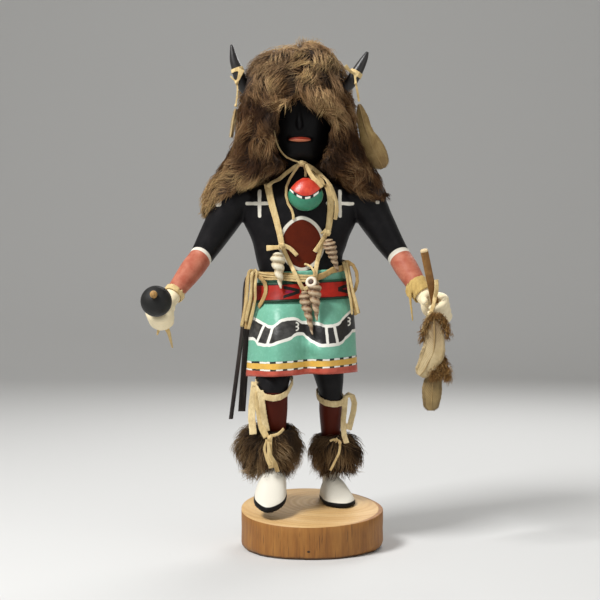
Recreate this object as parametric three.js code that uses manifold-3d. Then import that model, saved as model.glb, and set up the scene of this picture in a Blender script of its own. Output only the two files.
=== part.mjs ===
// A carved and painted kachina doll of a horned buffalo dancer, stepping forward on a slab of cottonwood.
// Millimetres, +Z up. The doll faces -Y, and the origin is the middle of the slab's underside.
// The doll's own coordinates are centred on the torso: the doll group then stands FIGURE_X from the origin.
// Right and left are the doll's own, so its right side is at -X.
import * as THREE from "three";
import { LoftGeometry } from "three/addons/geometries/LoftGeometry.js";
import { mergeVertices } from "three/addons/utils/BufferGeometryUtils.js";
import Module from "manifold-3d";

const wasm = await Module();
wasm.setup();

// ---- Driving dimensions ----
const FIGURE_X = -9; // the doll stands a little to one side of the slab's middle
const AXIS_Y = 8; // the torso's depth axis
const GAP = 0.35; // clearance between pieces that touch
const LIE = 0.85; // a lace's clearance over the facets it lies on
const LEATHER = 1.2; // kilt, belt and cuffs
const LACE = 1.1; // buckskin laces
const SLAB = { radius: 57, height: 31.2, slopeY: 0.1, slopeX: -0.014, sides: 36 };
const SOLE_GAP = 0.4;

const BACK = new THREE.Vector3(0, 1, 0);
const UP = new THREE.Vector3(0, 0, 1);
const SIDE = new THREE.Vector3(1, 0, 0);

// ---- Small helpers ----
const vec = (x, y, z) => new THREE.Vector3(x, y, z);
const range = (n) => Array.from({ length: n }, (_, i) => i);
const mix = (a, b, t) => a + (b - a) * t;
const slabTop = (x, y) => SLAB.height + SLAB.slopeY * y + SLAB.slopeX * (x + FIGURE_X);

// A three.js geometry as a manifold solid whose faces point out.
function solid(geometry) {
  const bare = (geometry.index ? geometry.toNonIndexed() : geometry).clone();
  bare.deleteAttribute("normal");
  bare.deleteAttribute("uv");
  const merged = mergeVertices(bare, 1e-4);
  const index = new Uint32Array(merged.index.array);
  const vertProperties = merged.attributes.position.array;
  const build = () => new wasm.Manifold(new wasm.Mesh({ numProp: 3, vertProperties, triVerts: index }));
  const made = build();
  if (made.volume() > 0) return made;
  for (let i = 0; i < index.length; i += 3) [index[i + 1], index[i + 2]] = [index[i + 2], index[i + 1]];
  return build();
}

// A manifold solid back as a three.js geometry.
function geometryOf(manifold) {
  const mesh = manifold.getMesh();
  const positions = new Float32Array(mesh.numVert * 3);
  for (let i = 0; i < mesh.numVert; i++)
    positions.set(mesh.vertProperties.subarray(i * mesh.numProp, i * mesh.numProp + 3), i * 3);
  const geometry = new THREE.BufferGeometry();
  geometry.setAttribute("position", new THREE.BufferAttribute(positions, 3));
  geometry.setIndex(new THREE.BufferAttribute(mesh.triVerts, 1));
  return geometry;
}

// Which way round a closed outline runs, as a vector across its plane.
function facing(outline) {
  const total = vec(0, 0, 0);
  outline.forEach((point, i) => total.add(point.clone().cross(outline[(i + 1) % outline.length])));
  return total;
}
function middleOf(outline) {
  const total = vec(0, 0, 0);
  outline.forEach((point) => total.add(point));
  return total.divideScalar(outline.length);
}

// A capped solid through closed outlines, whichever way round they run.
function loft(sections) {
  const forward = middleOf(sections[1]).sub(middleOf(sections[0]));
  const turned = facing(sections[0]).dot(forward) < 0;
  const ordered = turned ? sections.map((outline) => outline.toReversed()) : sections;
  return solid(new LoftGeometry(ordered, { capStart: true, capEnd: true }));
}
const shell = (outer, inner) => solid(new LoftGeometry([...outer, ...inner.toReversed(), outer[0]]));
const union = (...solids) => solids.reduce((all, one) => all.add(one));

// A closed outline of superellipse shape round a centre, in the plane of two axes.
function ring(centre, u, v, a, b, sides, power = 2) {
  return range(sides).map((j) => {
    const angle = ((j + 0.5) / sides) * 2 * Math.PI;
    const c = Math.cos(angle);
    const s = Math.sin(angle);
    const cu = Math.sign(c) * Math.abs(c) ** (2 / power);
    const sv = Math.sign(s) * Math.abs(s) ** (2 / power);
    return centre.clone().addScaledVector(u, a * cu).addScaledVector(v, b * sv);
  });
}

// Rings across a smooth path through stations [x, y, z, half width, half depth].
// They run from one share of the path to another, and level rings stay horizontal.
const RINGS = { sides: 14, steps: 2, grow: 0, level: false, power: 2, from: 0, to: 1 };
function rings(stations, options = {}) {
  const { sides, steps, grow, level, power, from, to } = { ...RINGS, ...options };
  const path = new THREE.CatmullRomCurve3(stations.map(([x, y, z]) => vec(x, y, z)));
  const radii = new THREE.CatmullRomCurve3(
    stations.map(([, , , a, b = a]) => vec(a, b, 0)),
    false,
    "catmullrom",
  );
  const count = Math.max(1, Math.round((stations.length - 1) * steps * (to - from)));
  return range(count + 1).map((i) => {
    const t = mix(from, to, i / count);
    const along = level ? UP : path.getTangent(t);
    const v = BACK.clone().addScaledVector(along, -BACK.dot(along)).normalize();
    const u = v.clone().cross(along).normalize();
    const { x: a, y: b } = radii.getPoint(t);
    return ring(path.getPoint(t), u, v, a + grow, b + grow, sides, power);
  });
}

const limb = (stations, options) => loft(rings(stations, options));

// A sleeve round a limb, between two shares of its path, from inner to outer clearance.
function sleeve(stations, inner, outer, options = {}) {
  return shell(rings(stations, { ...options, grow: outer }), rings(stations, { ...options, grow: inner }));
}

// ---- The carved figure: mask, torso, arms, fists, legs and moccasins in one piece of wood ----
const TORSO = [
  [0, AXIS_Y, 314, 11, 11],
  [0, AXIS_Y, 301, 13, 12],
  [0, AXIS_Y, 293, 24, 14],
  [0, AXIS_Y, 285, 43, 17],
  [0, AXIS_Y - 0.5, 275, 49, 20],
  [0, AXIS_Y - 1, 262, 46, 21],
  [0, AXIS_Y - 1, 248, 39.5, 19.5],
  [0, AXIS_Y, 234, 35.5, 18],
  [1.5, AXIS_Y, 220, 33, 17.5],
  [2, AXIS_Y, 204, 33, 18],
  [2, AXIS_Y, 186, 35, 20.5],
  [2, AXIS_Y, 168, 35.5, 23],
  [2, AXIS_Y, 154, 29, 19],
  [2, AXIS_Y, 148, 14, 9],
];
const HEAD = [
  [0, 4, 307, 7, 7],
  [0, 4, 309, 13, 13],
  [0, 4, 315, 20.5, 20.5],
  [0, 5, 326, 25.5, 25],
  [0, 6, 344, 28, 28],
  [0, 7, 362, 27, 27],
  [0, 8, 376, 20, 20],
  [0, 8, 384, 8, 8],
];
// An arm from inside the shoulder into the hand: side is -1 for the right arm and 1 for the left.
const between = (a, b, t) => a.map((value, axis) => mix(value, b[axis], t));
const armStations = (side, elbow, wrist, hand) => [
  [side * 40, AXIS_Y, 281, 11, 13],
  [side * 53, AXIS_Y, 276, 15, 16],
  [side * 62.5, AXIS_Y, 261, 13.4, 14],
  [side * 71.5, AXIS_Y, 246, 11.4, 12],
  [...elbow, 9.4, 9.8],
  [...between(elbow, wrist, 0.35), 9.4, 9.6],
  [...wrist, 7, 7],
  [...between(wrist, hand, 0.6), 6.6, 6.6],
];
const RIGHT_ARM = armStations(-1, [-80, 6, 232], [-99, -20, 204], [-108.5, -33, 189]);
const LEFT_ARM = armStations(1, [80, 6, 233], [97.5, -16, 203], [107, -26, 192]);
const RIGHT_LEG = [
  [-14, AXIS_Y, 174, 15, 18],
  [-18, -3, 154, 15, 16],
  [-20.5, -17, 136, 12.6, 13],
  [-20.8, -20, 124, 11.4, 11.4],
  [-20.5, -17, 110, 10.8, 10.4],
  [-20, -11, 92, 8.6, 8.6],
  [-20.5, -5, 74, 6.9, 6.9],
  [-21, -3, 60, 7, 7],
];
const LEFT_LEG = [
  [16, AXIS_Y, 174, 16, 18],
  [21, 9, 152, 14.5, 15.5],
  [24, 9, 134, 11.6, 12.4],
  [25, 10, 122, 9.6, 10.4],
  [25.2, 14, 106, 9.3, 9.4],
  [25.3, 19, 86, 7.6, 8],
  [25.5, 23, 66, 6.4, 6.6],
  [25.5, 25, 48, 7, 7],
];

// A fist closed round a grip axis: a palm at the wrist's side, a mitten of curled fingers and a thumb.
const FIST = { ring: 8.4, finger: 3.3, halfHeight: 11, sweep: 4.9 };
function fist({ centre, grip, wrist, knuckles }) {
  const axis = grip.clone().normalize();
  const toWrist = wrist.clone().sub(centre);
  toWrist.addScaledVector(axis, -toWrist.dot(axis)).normalize();
  const outward = axis.clone().cross(toWrist).multiplyScalar(knuckles);
  const at = (angle, radius, rise) =>
    centre
      .clone()
      .addScaledVector(toWrist, radius * Math.cos(angle))
      .addScaledVector(outward, radius * Math.sin(angle))
      .addScaledVector(axis, rise);
  const curled = (radius, rise, halfRise, thick, start, sweep, steps, sides) =>
    loft(
      range(steps + 1).map((i) => {
        const angle = start + (sweep * i) / steps;
        const out = at(angle, 1, 0).sub(centre);
        const taper = i === 0 || i === steps ? 0.75 : 1;
        return ring(at(angle, radius, rise), out, axis, thick * taper, halfRise * taper, sides, 2.6);
      }),
    );
  const palm = loft(
    [-1, -0.6, 0, 0.6, 1].map((s) => {
      const spread = Math.sqrt(1.04 - s * s);
      return ring(at(0, FIST.ring - 1, s * FIST.halfHeight), toWrist, outward, 5.8 * spread, 8.6 * spread, 8);
    }),
  );
  const fingers = curled(FIST.ring, -1, FIST.halfHeight - 1, FIST.finger, -0.25, FIST.sweep, 7, 6);
  const thumb = curled(FIST.ring - 0.6, FIST.halfHeight - 1, 3.1, 3, 0.1, -1.9, 3, 6);
  return union(palm, fingers, thumb);
}

// A rod along an axis, from start to end millimetres past a centre.
function rod(centre, axis, start, end, half, depth = half, sides = 12) {
  const direction = axis.clone().normalize();
  const u = SIDE.clone().addScaledVector(direction, -SIDE.dot(direction)).normalize();
  const v = direction.clone().cross(u);
  const at = (t) => centre.clone().addScaledVector(direction, t);
  return loft([start, end].map((t) => ring(at(t), u, v, half, depth, sides)));
}

// A short tube round a hand's grip axis.
function shellRod(hand, start, end, inner, outer) {
  return rod(hand.centre, hand.grip, start, end, outer, outer, 10).subtract(
    rod(hand.centre, hand.grip, start - 1, end + 1, inner, inner, 10),
  );
}

const RATTLE_HAND = {
  centre: vec(-108.5, -33, 189),
  grip: vec(-0.05, -0.915, 0.4),
  wrist: vec(-97, -18, 207),
  knuckles: 1,
};
const STICK_HAND = {
  centre: vec(107, -26, 192),
  grip: vec(-0.22, -0.5, 0.84),
  wrist: vec(96, -14, 205),
  knuckles: -1,
};
const HANDLE_RADIUS = 2.4;
const STICK = { half: 3, thick: 1.7, above: 55, below: 15 };

// A moccasin on its sole: rings from heel to toe, flat below, domed above.
// Each profile entry is [share of the length, half width, height].
const MOCCASIN = [
  [0, 3, 5],
  [0.05, 7, 10],
  [0.2, 10, 18],
  [0.4, 11.4, 19],
  [0.6, 13, 12.5],
  [0.8, 11.6, 7.5],
  [0.94, 6.4, 5],
  [1, 1.2, 3.2],
];
const LEG_FOOT = {
  right: { heel: vec(-19.5, 3.5, 56), toe: vec(-25.4, -43, 33.4), up: vec(0, -0.42, 0.9) },
  left: { heel: vec(22.5, 35, 0), toe: vec(37.5, -4, 0), up: vec(0, -SLAB.slopeY, 1) },
};
for (const end of ["heel", "toe"]) {
  const place = LEG_FOOT.left[end];
  place.z = slabTop(place.x, place.y) + SOLE_GAP;
}
function moccasin({ heel, toe, up }, grow = 0) {
  const along = toe.clone().sub(heel);
  const length = along.length();
  along.normalize();
  const rise = up.clone().addScaledVector(along, -up.dot(along)).normalize();
  const across = along.clone().cross(rise);
  return loft(
    MOCCASIN.map(([share, halfWidth, height]) => {
      const middle = heel.clone().addScaledVector(along, share * length);
      return ring(vec(0, 0, 0), SIDE, UP, halfWidth + grow, height + grow, 8, 2.4).map(({ x, z }) =>
        middle
          .clone()
          .addScaledVector(across, x)
          .addScaledVector(rise, Math.max(z, -grow)),
      );
    }),
  );
}

// The mask's carved nose and lips.
function face() {
  const nose = limb(
    [
      [0, -19, 347, 1.6, 3],
      [0, -21, 341, 2.2, 3.4],
      [0, -22.6, 336, 3, 3.4],
      [0, -20, 333, 2, 2.4],
    ],
    { sides: 8, steps: 1 },
  );
  const lips = loft(
    [-9, -6, 0, 6, 9].map((x) => {
      const full = 1 - (x / 10) ** 2;
      return ring(vec(x, -17.6 - 3.4 * full, 325), BACK, UP, 2.4 + full, 0.6 + 2 * full, 8);
    }),
  );
  return union(nose, lips);
}

// The figure's main forms with every half width grown by the same amount, as cutters for what is worn on it.
function bodyForms(grow, sides = 9) {
  return {
    torso: limb(TORSO, { sides: sides + 5, steps: 1, grow, power: 2.35 }),
    head: limb(HEAD, { sides: sides + 3, steps: 1, grow, power: 2.15 }),
    rightArm: limb(RIGHT_ARM, { sides, steps: 1, grow }),
    leftArm: limb(LEFT_ARM, { sides, steps: 1, grow }),
    rightLeg: limb(RIGHT_LEG, { sides, steps: 1, grow }),
    leftLeg: limb(LEFT_LEG, { sides, steps: 1, grow }),
  };
}
const figure = union(
  ...Object.values(bodyForms(0)),
  fist(RATTLE_HAND),
  fist(STICK_HAND),
  moccasin(LEG_FOOT.right),
  moccasin(LEG_FOOT.left),
  face(),
)
  .subtract(rod(RATTLE_HAND.centre, RATTLE_HAND.grip, -18, 18, HANDLE_RADIUS + GAP, HANDLE_RADIUS + GAP, 8))
  .subtract(rod(STICK_HAND.centre, STICK_HAND.grip, -18, 18, STICK.half + GAP, STICK.thick + GAP, 8));

// ---- Horns and the fur hood ----
const RIGHT_HORN = [
  [-24, 7, 359, 4.6],
  [-36, 6, 362.5, 4.7],
  [-44.5, 5, 368.5, 4.6],
  [-48, 4, 376, 4.8],
  [-50.4, 4, 383.5, 4.3],
  [-52.9, 4, 391, 3.3],
  [-54.7, 4, 402.5, 1.1],
];
const LEFT_HORN = [
  [22, 7, 360, 4.6],
  [32, 6, 365, 4.7],
  [40, 5, 371.5, 4.6],
  [43.5, 4, 376.8, 4.8],
  [47.3, 4, 383.2, 4.2],
  [51.6, 4, 391, 2.9],
  [54.3, 4, 396.7, 1.2],
];
const horn = (stations, grow = 0) => limb(stations, { sides: 8, steps: 1, grow });

const HOOD = [
  [4, AXIS_Y, 406, 7, 7],
  [6, AXIS_Y, 400, 18, 18],
  [-1, AXIS_Y, 394, 31, 30],
  [-4.6, AXIS_Y, 386, 37.5, 37],
  [-4, AXIS_Y, 371, 43.8, 42],
  [-1.5, AXIS_Y, 347, 47.6, 45],
  [-2.5, AXIS_Y, 330, 50, 45],
  [-2.5, AXIS_Y + 1, 316, 56, 43.5],
  [-2, AXIS_Y + 2, 305, 63.5, 41.5],
  [-2.5, AXIS_Y + 3, 294, 70.5, 38],
  [-4, AXIS_Y + 3, 279, 75, 36],
  [-4, AXIS_Y + 3, 264, 75.7, 34],
];
// The opening over the face and chest, as (x, z) round its edge.
const HOOD_OPENING = [
  [-14, 345], [-3, 355], [0, 362], [4, 354], [15, 346], [25, 340], [24, 320], [14, 306], [22, 300],
  [44, 285], [62, 275], [84, 268], [84, 250], [-84, 250], [-84, 262], [-66, 274], [-47, 284], [-26, 297],
  [-12, 306], [-20, 318], [-22, 338],
];
function hood(clear) {
  const outline = new THREE.Shape(HOOD_OPENING.map(([x, z]) => new THREE.Vector2(x, z)));
  const cut = new THREE.ExtrudeGeometry(outline, { depth: 120, bevelEnabled: false });
  cut.rotateX(Math.PI / 2); // the outline now stands in x and z, and runs towards -Y
  cut.translate(0, AXIS_Y - 3, 0);
  return limb(HOOD, { sides: 22, power: 2.1, steps: 1, level: true })
    .subtract(union(clear.torso, clear.head, clear.rightArm, clear.leftArm))
    .subtract(solid(cut))
    .subtract(union(horn(RIGHT_HORN, GAP), horn(LEFT_HORN, GAP)));
}

// ---- Kilt and belt ----
// [x, y, z, half width, half depth] of the kilt's outer face. Its two side edges come to a point.
const KILT = [
  [2.5, AXIS_Y, 221.5, 36.2, 20.6],
  [2.5, AXIS_Y, 208, 37, 22],
  [2.5, AXIS_Y, 193, 40.4, 27],
  [2, AXIS_Y - 2, 176, 42.6, 32],
  [1.8, AXIS_Y - 4, 158, 43.6, 34],
  [1.6, AXIS_Y - 5, 138.5, 45, 35],
];
const KILT_SIDES = 24;
const KILT_LEAN = 0.05; // the belt and the hem rise towards the doll's left
const THIGH_LIFT = 3.5; // how far the raised thigh pushes the front of the kilt out
const VALLEY = 4; // the dip between the thighs
const BELT_SHARES = { from: 0.12, to: 0.34 }; // the belt's reach down the kilt
function kiltRings(grow, { from = 0, to = 1, steps = 1 } = {}) {
  const outlines = rings(KILT, { sides: KILT_SIDES, steps, grow, power: 2.3, from, to });
  return outlines.map((outline, i) => {
    const low = mix(from, to, i / (outlines.length - 1));
    return outline.map((point) => {
      const front = Math.max(0, -(point.y - AXIS_Y) / 30);
      const thigh = THIGH_LIFT * Math.exp(-(((point.x + 18) / 15) ** 2));
      const dip = VALLEY * Math.exp(-(((point.x - 4) / 9) ** 2));
      const lean = KILT_LEAN * (point.x - 2);
      return point.clone().add(vec(0, front * low * (dip - thigh), lean));
    });
  });
}
const kilt = () => shell(kiltRings(0), kiltRings(-LEATHER));
const belt = () =>
  shell(
    kiltRings(GAP + 0.4 + LEATHER, { ...BELT_SHARES, steps: 1.5 }),
    kiltRings(GAP + 0.4, { ...BELT_SHARES, steps: 1.5 }),
  );

// ---- Laying laces on what they rest on ----
function meshOf(manifold) {
  return new THREE.Mesh(geometryOf(manifold), new THREE.MeshBasicMaterial({ side: THREE.DoubleSide }));
}
const probe = new THREE.Raycaster();
// The first surface met from a point along a direction, as {point, normal}, or null.
function surface(from, direction, meshes) {
  probe.set(from, direction.clone().normalize());
  const [hit] = probe.intersectObjects(meshes, false);
  if (!hit) return null;
  const normal = hit.face.normal.clone();
  if (normal.dot(direction) > 0) normal.negate();
  return { point: hit.point, normal };
}

// A flat strip along a smooth path. Each stop is {point, normal}, the normal being across its thickness.
function strip(stops, width, thickness, steps = stops.length * 2) {
  const path = new THREE.CatmullRomCurve3(stops.map((stop) => stop.point));
  const normals = new THREE.CatmullRomCurve3(stops.map((stop) => stop.normal));
  return loft(
    range(steps + 1).map((i) => {
      const t = i / steps;
      const along = path.getTangent(t);
      const normal = normals.getPoint(t);
      normal.addScaledVector(along, -normal.dot(along)).normalize();
      const across = along.clone().cross(normal);
      const taper = typeof width === "function" ? width(t) : width;
      return [
        [0.5, 0.5],
        [-0.5, 0.5],
        [-0.5, -0.5],
        [0.5, -0.5],
      ].map(([a, b]) =>
        path
          .getPoint(t)
          .addScaledVector(across, a * taper)
          .addScaledVector(normal, b * thickness),
      );
    }),
  );
}

// A lace along (x, z) places seen from the front, laid flat on whatever it meets, a lift above it.
// A place's third number lifts it further there, and past an edge it hangs straight on.
function lace(places, width, meshes, { lift = LIE, steps = Math.ceil(places.length * 1.2) } = {}) {
  const path = new THREE.CatmullRomCurve3(places.map(([x, z, extra = 0]) => vec(x, extra, z)));
  const rests = range(steps + 1).map((i) => {
    const place = path.getPoint(i / steps);
    const half = (typeof width === "function" ? width(i / steps) : width) / 2;
    const fronts = [-half, 0, half].map((dx) => {
      const hit = surface(vec(place.x + dx, -150, place.z), BACK, meshes);
      return hit ? hit.point.y : Infinity;
    });
    const [left, middle, right] = fronts;
    if (!fronts.every(Number.isFinite)) return { place, slope: 0, front: Math.min(...fronts) };
    const slope = THREE.MathUtils.clamp((right - left) / (2 * half), -1, 1);
    return { place, slope, front: Math.min(middle, (left + right) / 2) };
  });
  const stops = rests.map(({ place, slope }, i) => {
    const fronts = rests.slice(Math.max(0, i - 1), i + 2).map((rest) => rest.front);
    const last = rests.slice(0, i + 1).findLast((rest) => Number.isFinite(rest.front)).front;
    const front = Math.min(...fronts, last);
    return {
      point: vec(place.x, front - lift - place.y - LACE / 2, place.z),
      normal: vec(slope, -1, 0).normalize(),
    };
  });
  return strip(stops, width, LACE, steps);
}

// A free strip through [x, y, z] places, flat across the given direction.
function ribbon(places, width, { across = SIDE, thickness = LACE, steps = places.length } = {}) {
  const path = places.map(([x, y, z]) => vec(x, y, z));
  const stops = path.map((point, i) => {
    const along = path[Math.min(i + 1, path.length - 1)].clone().sub(path[Math.max(i - 1, 0)]);
    return { point, normal: across.clone().cross(along).normalize() };
  });
  return strip(stops, width, thickness, steps);
}

// A closed band round a centre line, laid on whatever it meets. heightAt gives its height at each bearing:
// 0 is the front, and bearings grow towards the doll's left. Rays start from millimetres out.
function hoop(centre, heightAt, width, meshes, { lift = LIE, thickness = LACE, stops = 24, from = 60 } = {}) {
  const sections = range(stops).map((i) => {
    const bearing = (i / stops) * 2 * Math.PI;
    const out = vec(Math.sin(bearing), -Math.cos(bearing), 0);
    const height = heightAt(bearing);
    const reach = [-0.5, -0.25, 0, 0.25, 0.5].map((share) => {
      const start = vec(centre[0], centre[1], height + share * width).addScaledVector(out, from);
      const hit = surface(start, out.clone().negate(), meshes);
      return hit ? from - hit.point.distanceTo(start) : 0;
    });
    const radius = Math.max(...reach) + lift;
    return [
      [0, -0.5],
      [1, -0.5],
      [1, 0.5],
      [0, 0.5],
    ].map(([deep, high]) =>
      vec(centre[0], centre[1], height + high * width).addScaledVector(out, radius + deep * thickness),
    );
  });
  return solid(new LoftGeometry([...sections, sections[0]]));
}

// A small round knot.
function knot(x, y, z, radius) {
  const ball = new THREE.SphereGeometry(radius, 6, 3);
  ball.translate(x, y, z);
  return solid(ball);
}

// ---- Seashells ----
// Half widths along a spired shell, from its mouth to its tip.
const SPIRE = [0.45, 0.85, 1, 0.86, 0.78, 0.62, 0.52, 0.34, 0.12];
const STUBBY = [0.5, 0.95, 1, 0.9, 0.95, 0.72, 0.6, 0.3, 0.15];
// A shell hung from (x, z) to (x, z), resting on what is behind it.
function seashell([x0, z0], [x1, z1], halfWidth, meshes, profile = SPIRE) {
  const last = profile.length - 1;
  const allowed = profile.map((share, i) => {
    const x = mix(x0, x1, i / last);
    const z = mix(z0, z1, i / last);
    const fronts = [-1, 0, 1].map((side) => {
      const hit = surface(vec(x + side * halfWidth * share * 0.8, -150, z), BACK, meshes);
      return hit ? hit.point.y : 0;
    });
    return Math.min(...fronts) - halfWidth * share * 0.85 - GAP;
  });
  const [top, tip] = [allowed[0], allowed[last]];
  const excess = Math.max(...allowed.map((y, i) => mix(top, tip, i / last) - y));
  return loft(
    profile.map((share, i) => {
      const t = i / last;
      const centre = vec(mix(x0, x1, t), mix(top, tip, t) - excess, mix(z0, z1, t));
      return ring(centre, SIDE, BACK, halfWidth * share, halfWidth * share * 0.85, 7);
    }),
  );
}

// ---- Materials ----
const finish = (color, roughness) => new THREE.MeshStandardMaterial({ color, roughness, metalness: 0 });
const MATERIALS = {
  slab: finish(0xb9834a, 0.75),
  blackPaint: finish(0x17171a, 0.55),
  hornPaint: finish(0x201e1d, 0.5),
  fur: finish(0x6b4f38, 0.95),
  turquoise: finish(0x4fa98c, 0.5),
  beltRed: finish(0x8a2016, 0.5),
  buckskin: finish(0xcbb27e, 0.85),
  pendant: finish(0xb13b22, 0.45),
  shell: finish(0xb89f82, 0.5),
  gourd: finish(0x121311, 0.6),
  handle: finish(0x8e6530, 0.7),
  feather: finish(0xb7a27a, 0.9),
  slat: finish(0x1c1815, 0.6),
};

const doll = new THREE.Group();
doll.position.x = FIGURE_X;
const part = new THREE.Group();
part.add(doll);

function add(name, manifold, material, parent = doll) {
  const mesh = new THREE.Mesh(geometryOf(manifold), material);
  mesh.name = name;
  parent.add(mesh);
}

// ---- The slab ----
// A slice of a branch, not quite round, with a blunt point on one side.
function slabOutline(shrink) {
  return range(SLAB.sides).map((j) => {
    const angle = (j / SLAB.sides) * 2 * Math.PI;
    const wave = 1 - 0.012 * Math.cos(2 * angle) + 0.014 * Math.cos(3 * angle + 0.9);
    const point = 0.02 * Math.exp(-((Math.sin(angle / 2) / 0.16) ** 2));
    const radius = SLAB.radius * (wave + point) - shrink;
    return [radius * Math.cos(angle), radius * Math.sin(angle)];
  });
}
const EDGE = 0.6; // the worn edge
const slab = loft([
  slabOutline(EDGE).map(([x, y]) => vec(x, y, 0)),
  slabOutline(0).map(([x, y]) => vec(x, y, EDGE)),
  slabOutline(0).map(([x, y]) => vec(x, y, slabTop(x - FIGURE_X, y) - EDGE)),
  slabOutline(EDGE).map(([x, y]) => vec(x, y, slabTop(x - FIGURE_X, y))),
]);
add("base_slab", slab, MATERIALS.slab, part);

add("figure", figure, MATERIALS.blackPaint);
const clear = bodyForms(0.8);
const mask = bodyForms(GAP + 0.1).head;
add("horn_right", horn(RIGHT_HORN).subtract(mask), MATERIALS.hornPaint);
add("horn_left", horn(LEFT_HORN).subtract(mask), MATERIALS.hornPaint);
const hoodSolid = hood(clear);
add("fur_hood", hoodSolid, MATERIALS.fur);
const kiltSolid = kilt();
const beltSolid = belt();
add("kilt", kiltSolid, MATERIALS.turquoise);
add("belt", beltSolid, MATERIALS.beltRed);

const onFigure = meshOf(figure);
const onBelt = meshOf(beltSolid);
const onKilt = meshOf(kiltSolid);
const onHood = meshOf(hoodSolid);
const waist = [onFigure, onKilt, onBelt];

// ---- The waist thong, tied at both hips with hanging ends ----
const WAIST_HEIGHTS = [
  [-1.7, 219], [-1, 218], [-0.45, 217.5], [0, 216], [0.35, 215.5], [0.65, 218], [1, 223], [1.7, 228],
  [Math.PI, 225],
];
function waistHeight(bearing) {
  const around = bearing > Math.PI ? bearing - 2 * Math.PI : bearing;
  const wrapped = [[-Math.PI, 225], ...WAIST_HEIGHTS];
  const i = Math.max(1, wrapped.findIndex(([at]) => at >= around));
  const [[a, low], [b, high]] = [wrapped[i - 1], wrapped[i]];
  return mix(low, high, THREE.MathUtils.smoothstep(around, a, b));
}
const waistThong = union(
  hoop([2, AXIS_Y], waistHeight, 5.2, waist, { lift: 1.2, thickness: 1.8, stops: 28 }),
  knot(-36, -2, 219.5, 3.4),
  ribbon(
    [[-36, -3, 221], [-39.5, -6, 221.5], [-41.8, -7, 213], [-42.5, -7, 198], [-44.5, -7, 185], [-46, -7, 177]],
    3.6,
  ),
  ribbon([[-35.5, -4, 221], [-37, -9, 214.5], [-38.4, -9, 202.5], [-40, -9, 189], [-42.6, -9, 175]], 3.8),
  lace([[-35, 218.5], [-31, 216, 1.5], [-27.5, 211], [-27, 205], [-29.5, 198], [-33, 192.5]], 3.8, waist, {
    lift: 1,
  }),
  knot(38, -1, 227.5, 3.4),
  ribbon([[38, -3, 229], [40, -8, 213.5], [43.5, -9, 200], [47, -9, 187.5]], 2.8),
  ribbon([[38, -2, 229], [43.5, -4, 225], [46, -5, 217], [45, -5, 208], [42, -5, 203]], 3),
  ribbon([[38.5, -4, 226], [40.5, -9, 214], [41.5, -10, 206.5], [42.5, -10, 197], [44.5, -9, 186]], 2.6),
);
add("waist_thong", waistThong, MATERIALS.buckskin);

// ---- The shell necklace ----
const chest = [...waist, meshOf(waistThong)];
const widthFrom = (start, end) => (t) => mix(start, end, t);
const necklace = union(
  lace([[-25.5, 291], [-24.5, 285], [-22, 274], [-17.5, 258], [-14, 241]], widthFrom(6.6, 4.6), chest),
  lace([[-14, 241], [-12, 236.5], [-8.5, 229], [-4, 220, 0.5], [3, 206]], 3.4, chest, { steps: 10 }),
  lace([[-14, 240.5, 0.6], [-20, 240, 0.8], [-26.5, 239.5, 0.8]], widthFrom(2.6, 5), chest),
  lace([[-14, 242, 0.6], [-8, 239.5, 0.8], [-2, 233.5, 0.8]], 3.4, chest),
  lace([[21.5, 291], [24, 284], [24.5, 275], [24, 264], [22, 251]], widthFrom(6.4, 5), chest),
  lace([[22, 252], [18.5, 246], [16, 236.5], [13.5, 226.5], [11.5, 214.5]], 3.6, chest, { steps: 10 }),
  lace([[21, 251, 0.6], [15.5, 242, 0.8], [11.5, 236.5, 0.8]], 3.2, chest),
  lace([[3.5, 227, 0.6], [8, 225.5, 0.6], [11.5, 220.5, 0.6], [12, 215.5]], 2, chest),
  lace([[12, 215.5], [9, 211], [3.2, 206]], 3.4, chest),
  knot(-14, -14.8, 240.5, 3.2),
  knot(22, -14.8, 251.5, 3.4),
);
add("necklace_thong", necklace, MATERIALS.buckskin);
const shellRest = [...chest, meshOf(necklace)];
add("shell_right", seashell([-18, 236], [-15, 207.5], 5.8, shellRest, STUBBY), MATERIALS.shell);
add("shell_left", seashell([22, 246.5], [30.5, 220.5], 5.4, shellRest), MATERIALS.shell);
const lowRight = seashell([3, 205.5], [10, 171.5], 5, shellRest);
add("shell_low_right", lowRight, MATERIALS.shell);
const lowLeft = seashell([11, 214], [13.5, 182.5], 5.6, [...shellRest, meshOf(lowRight)]);
add("shell_low_left", lowLeft, MATERIALS.shell);

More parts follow.
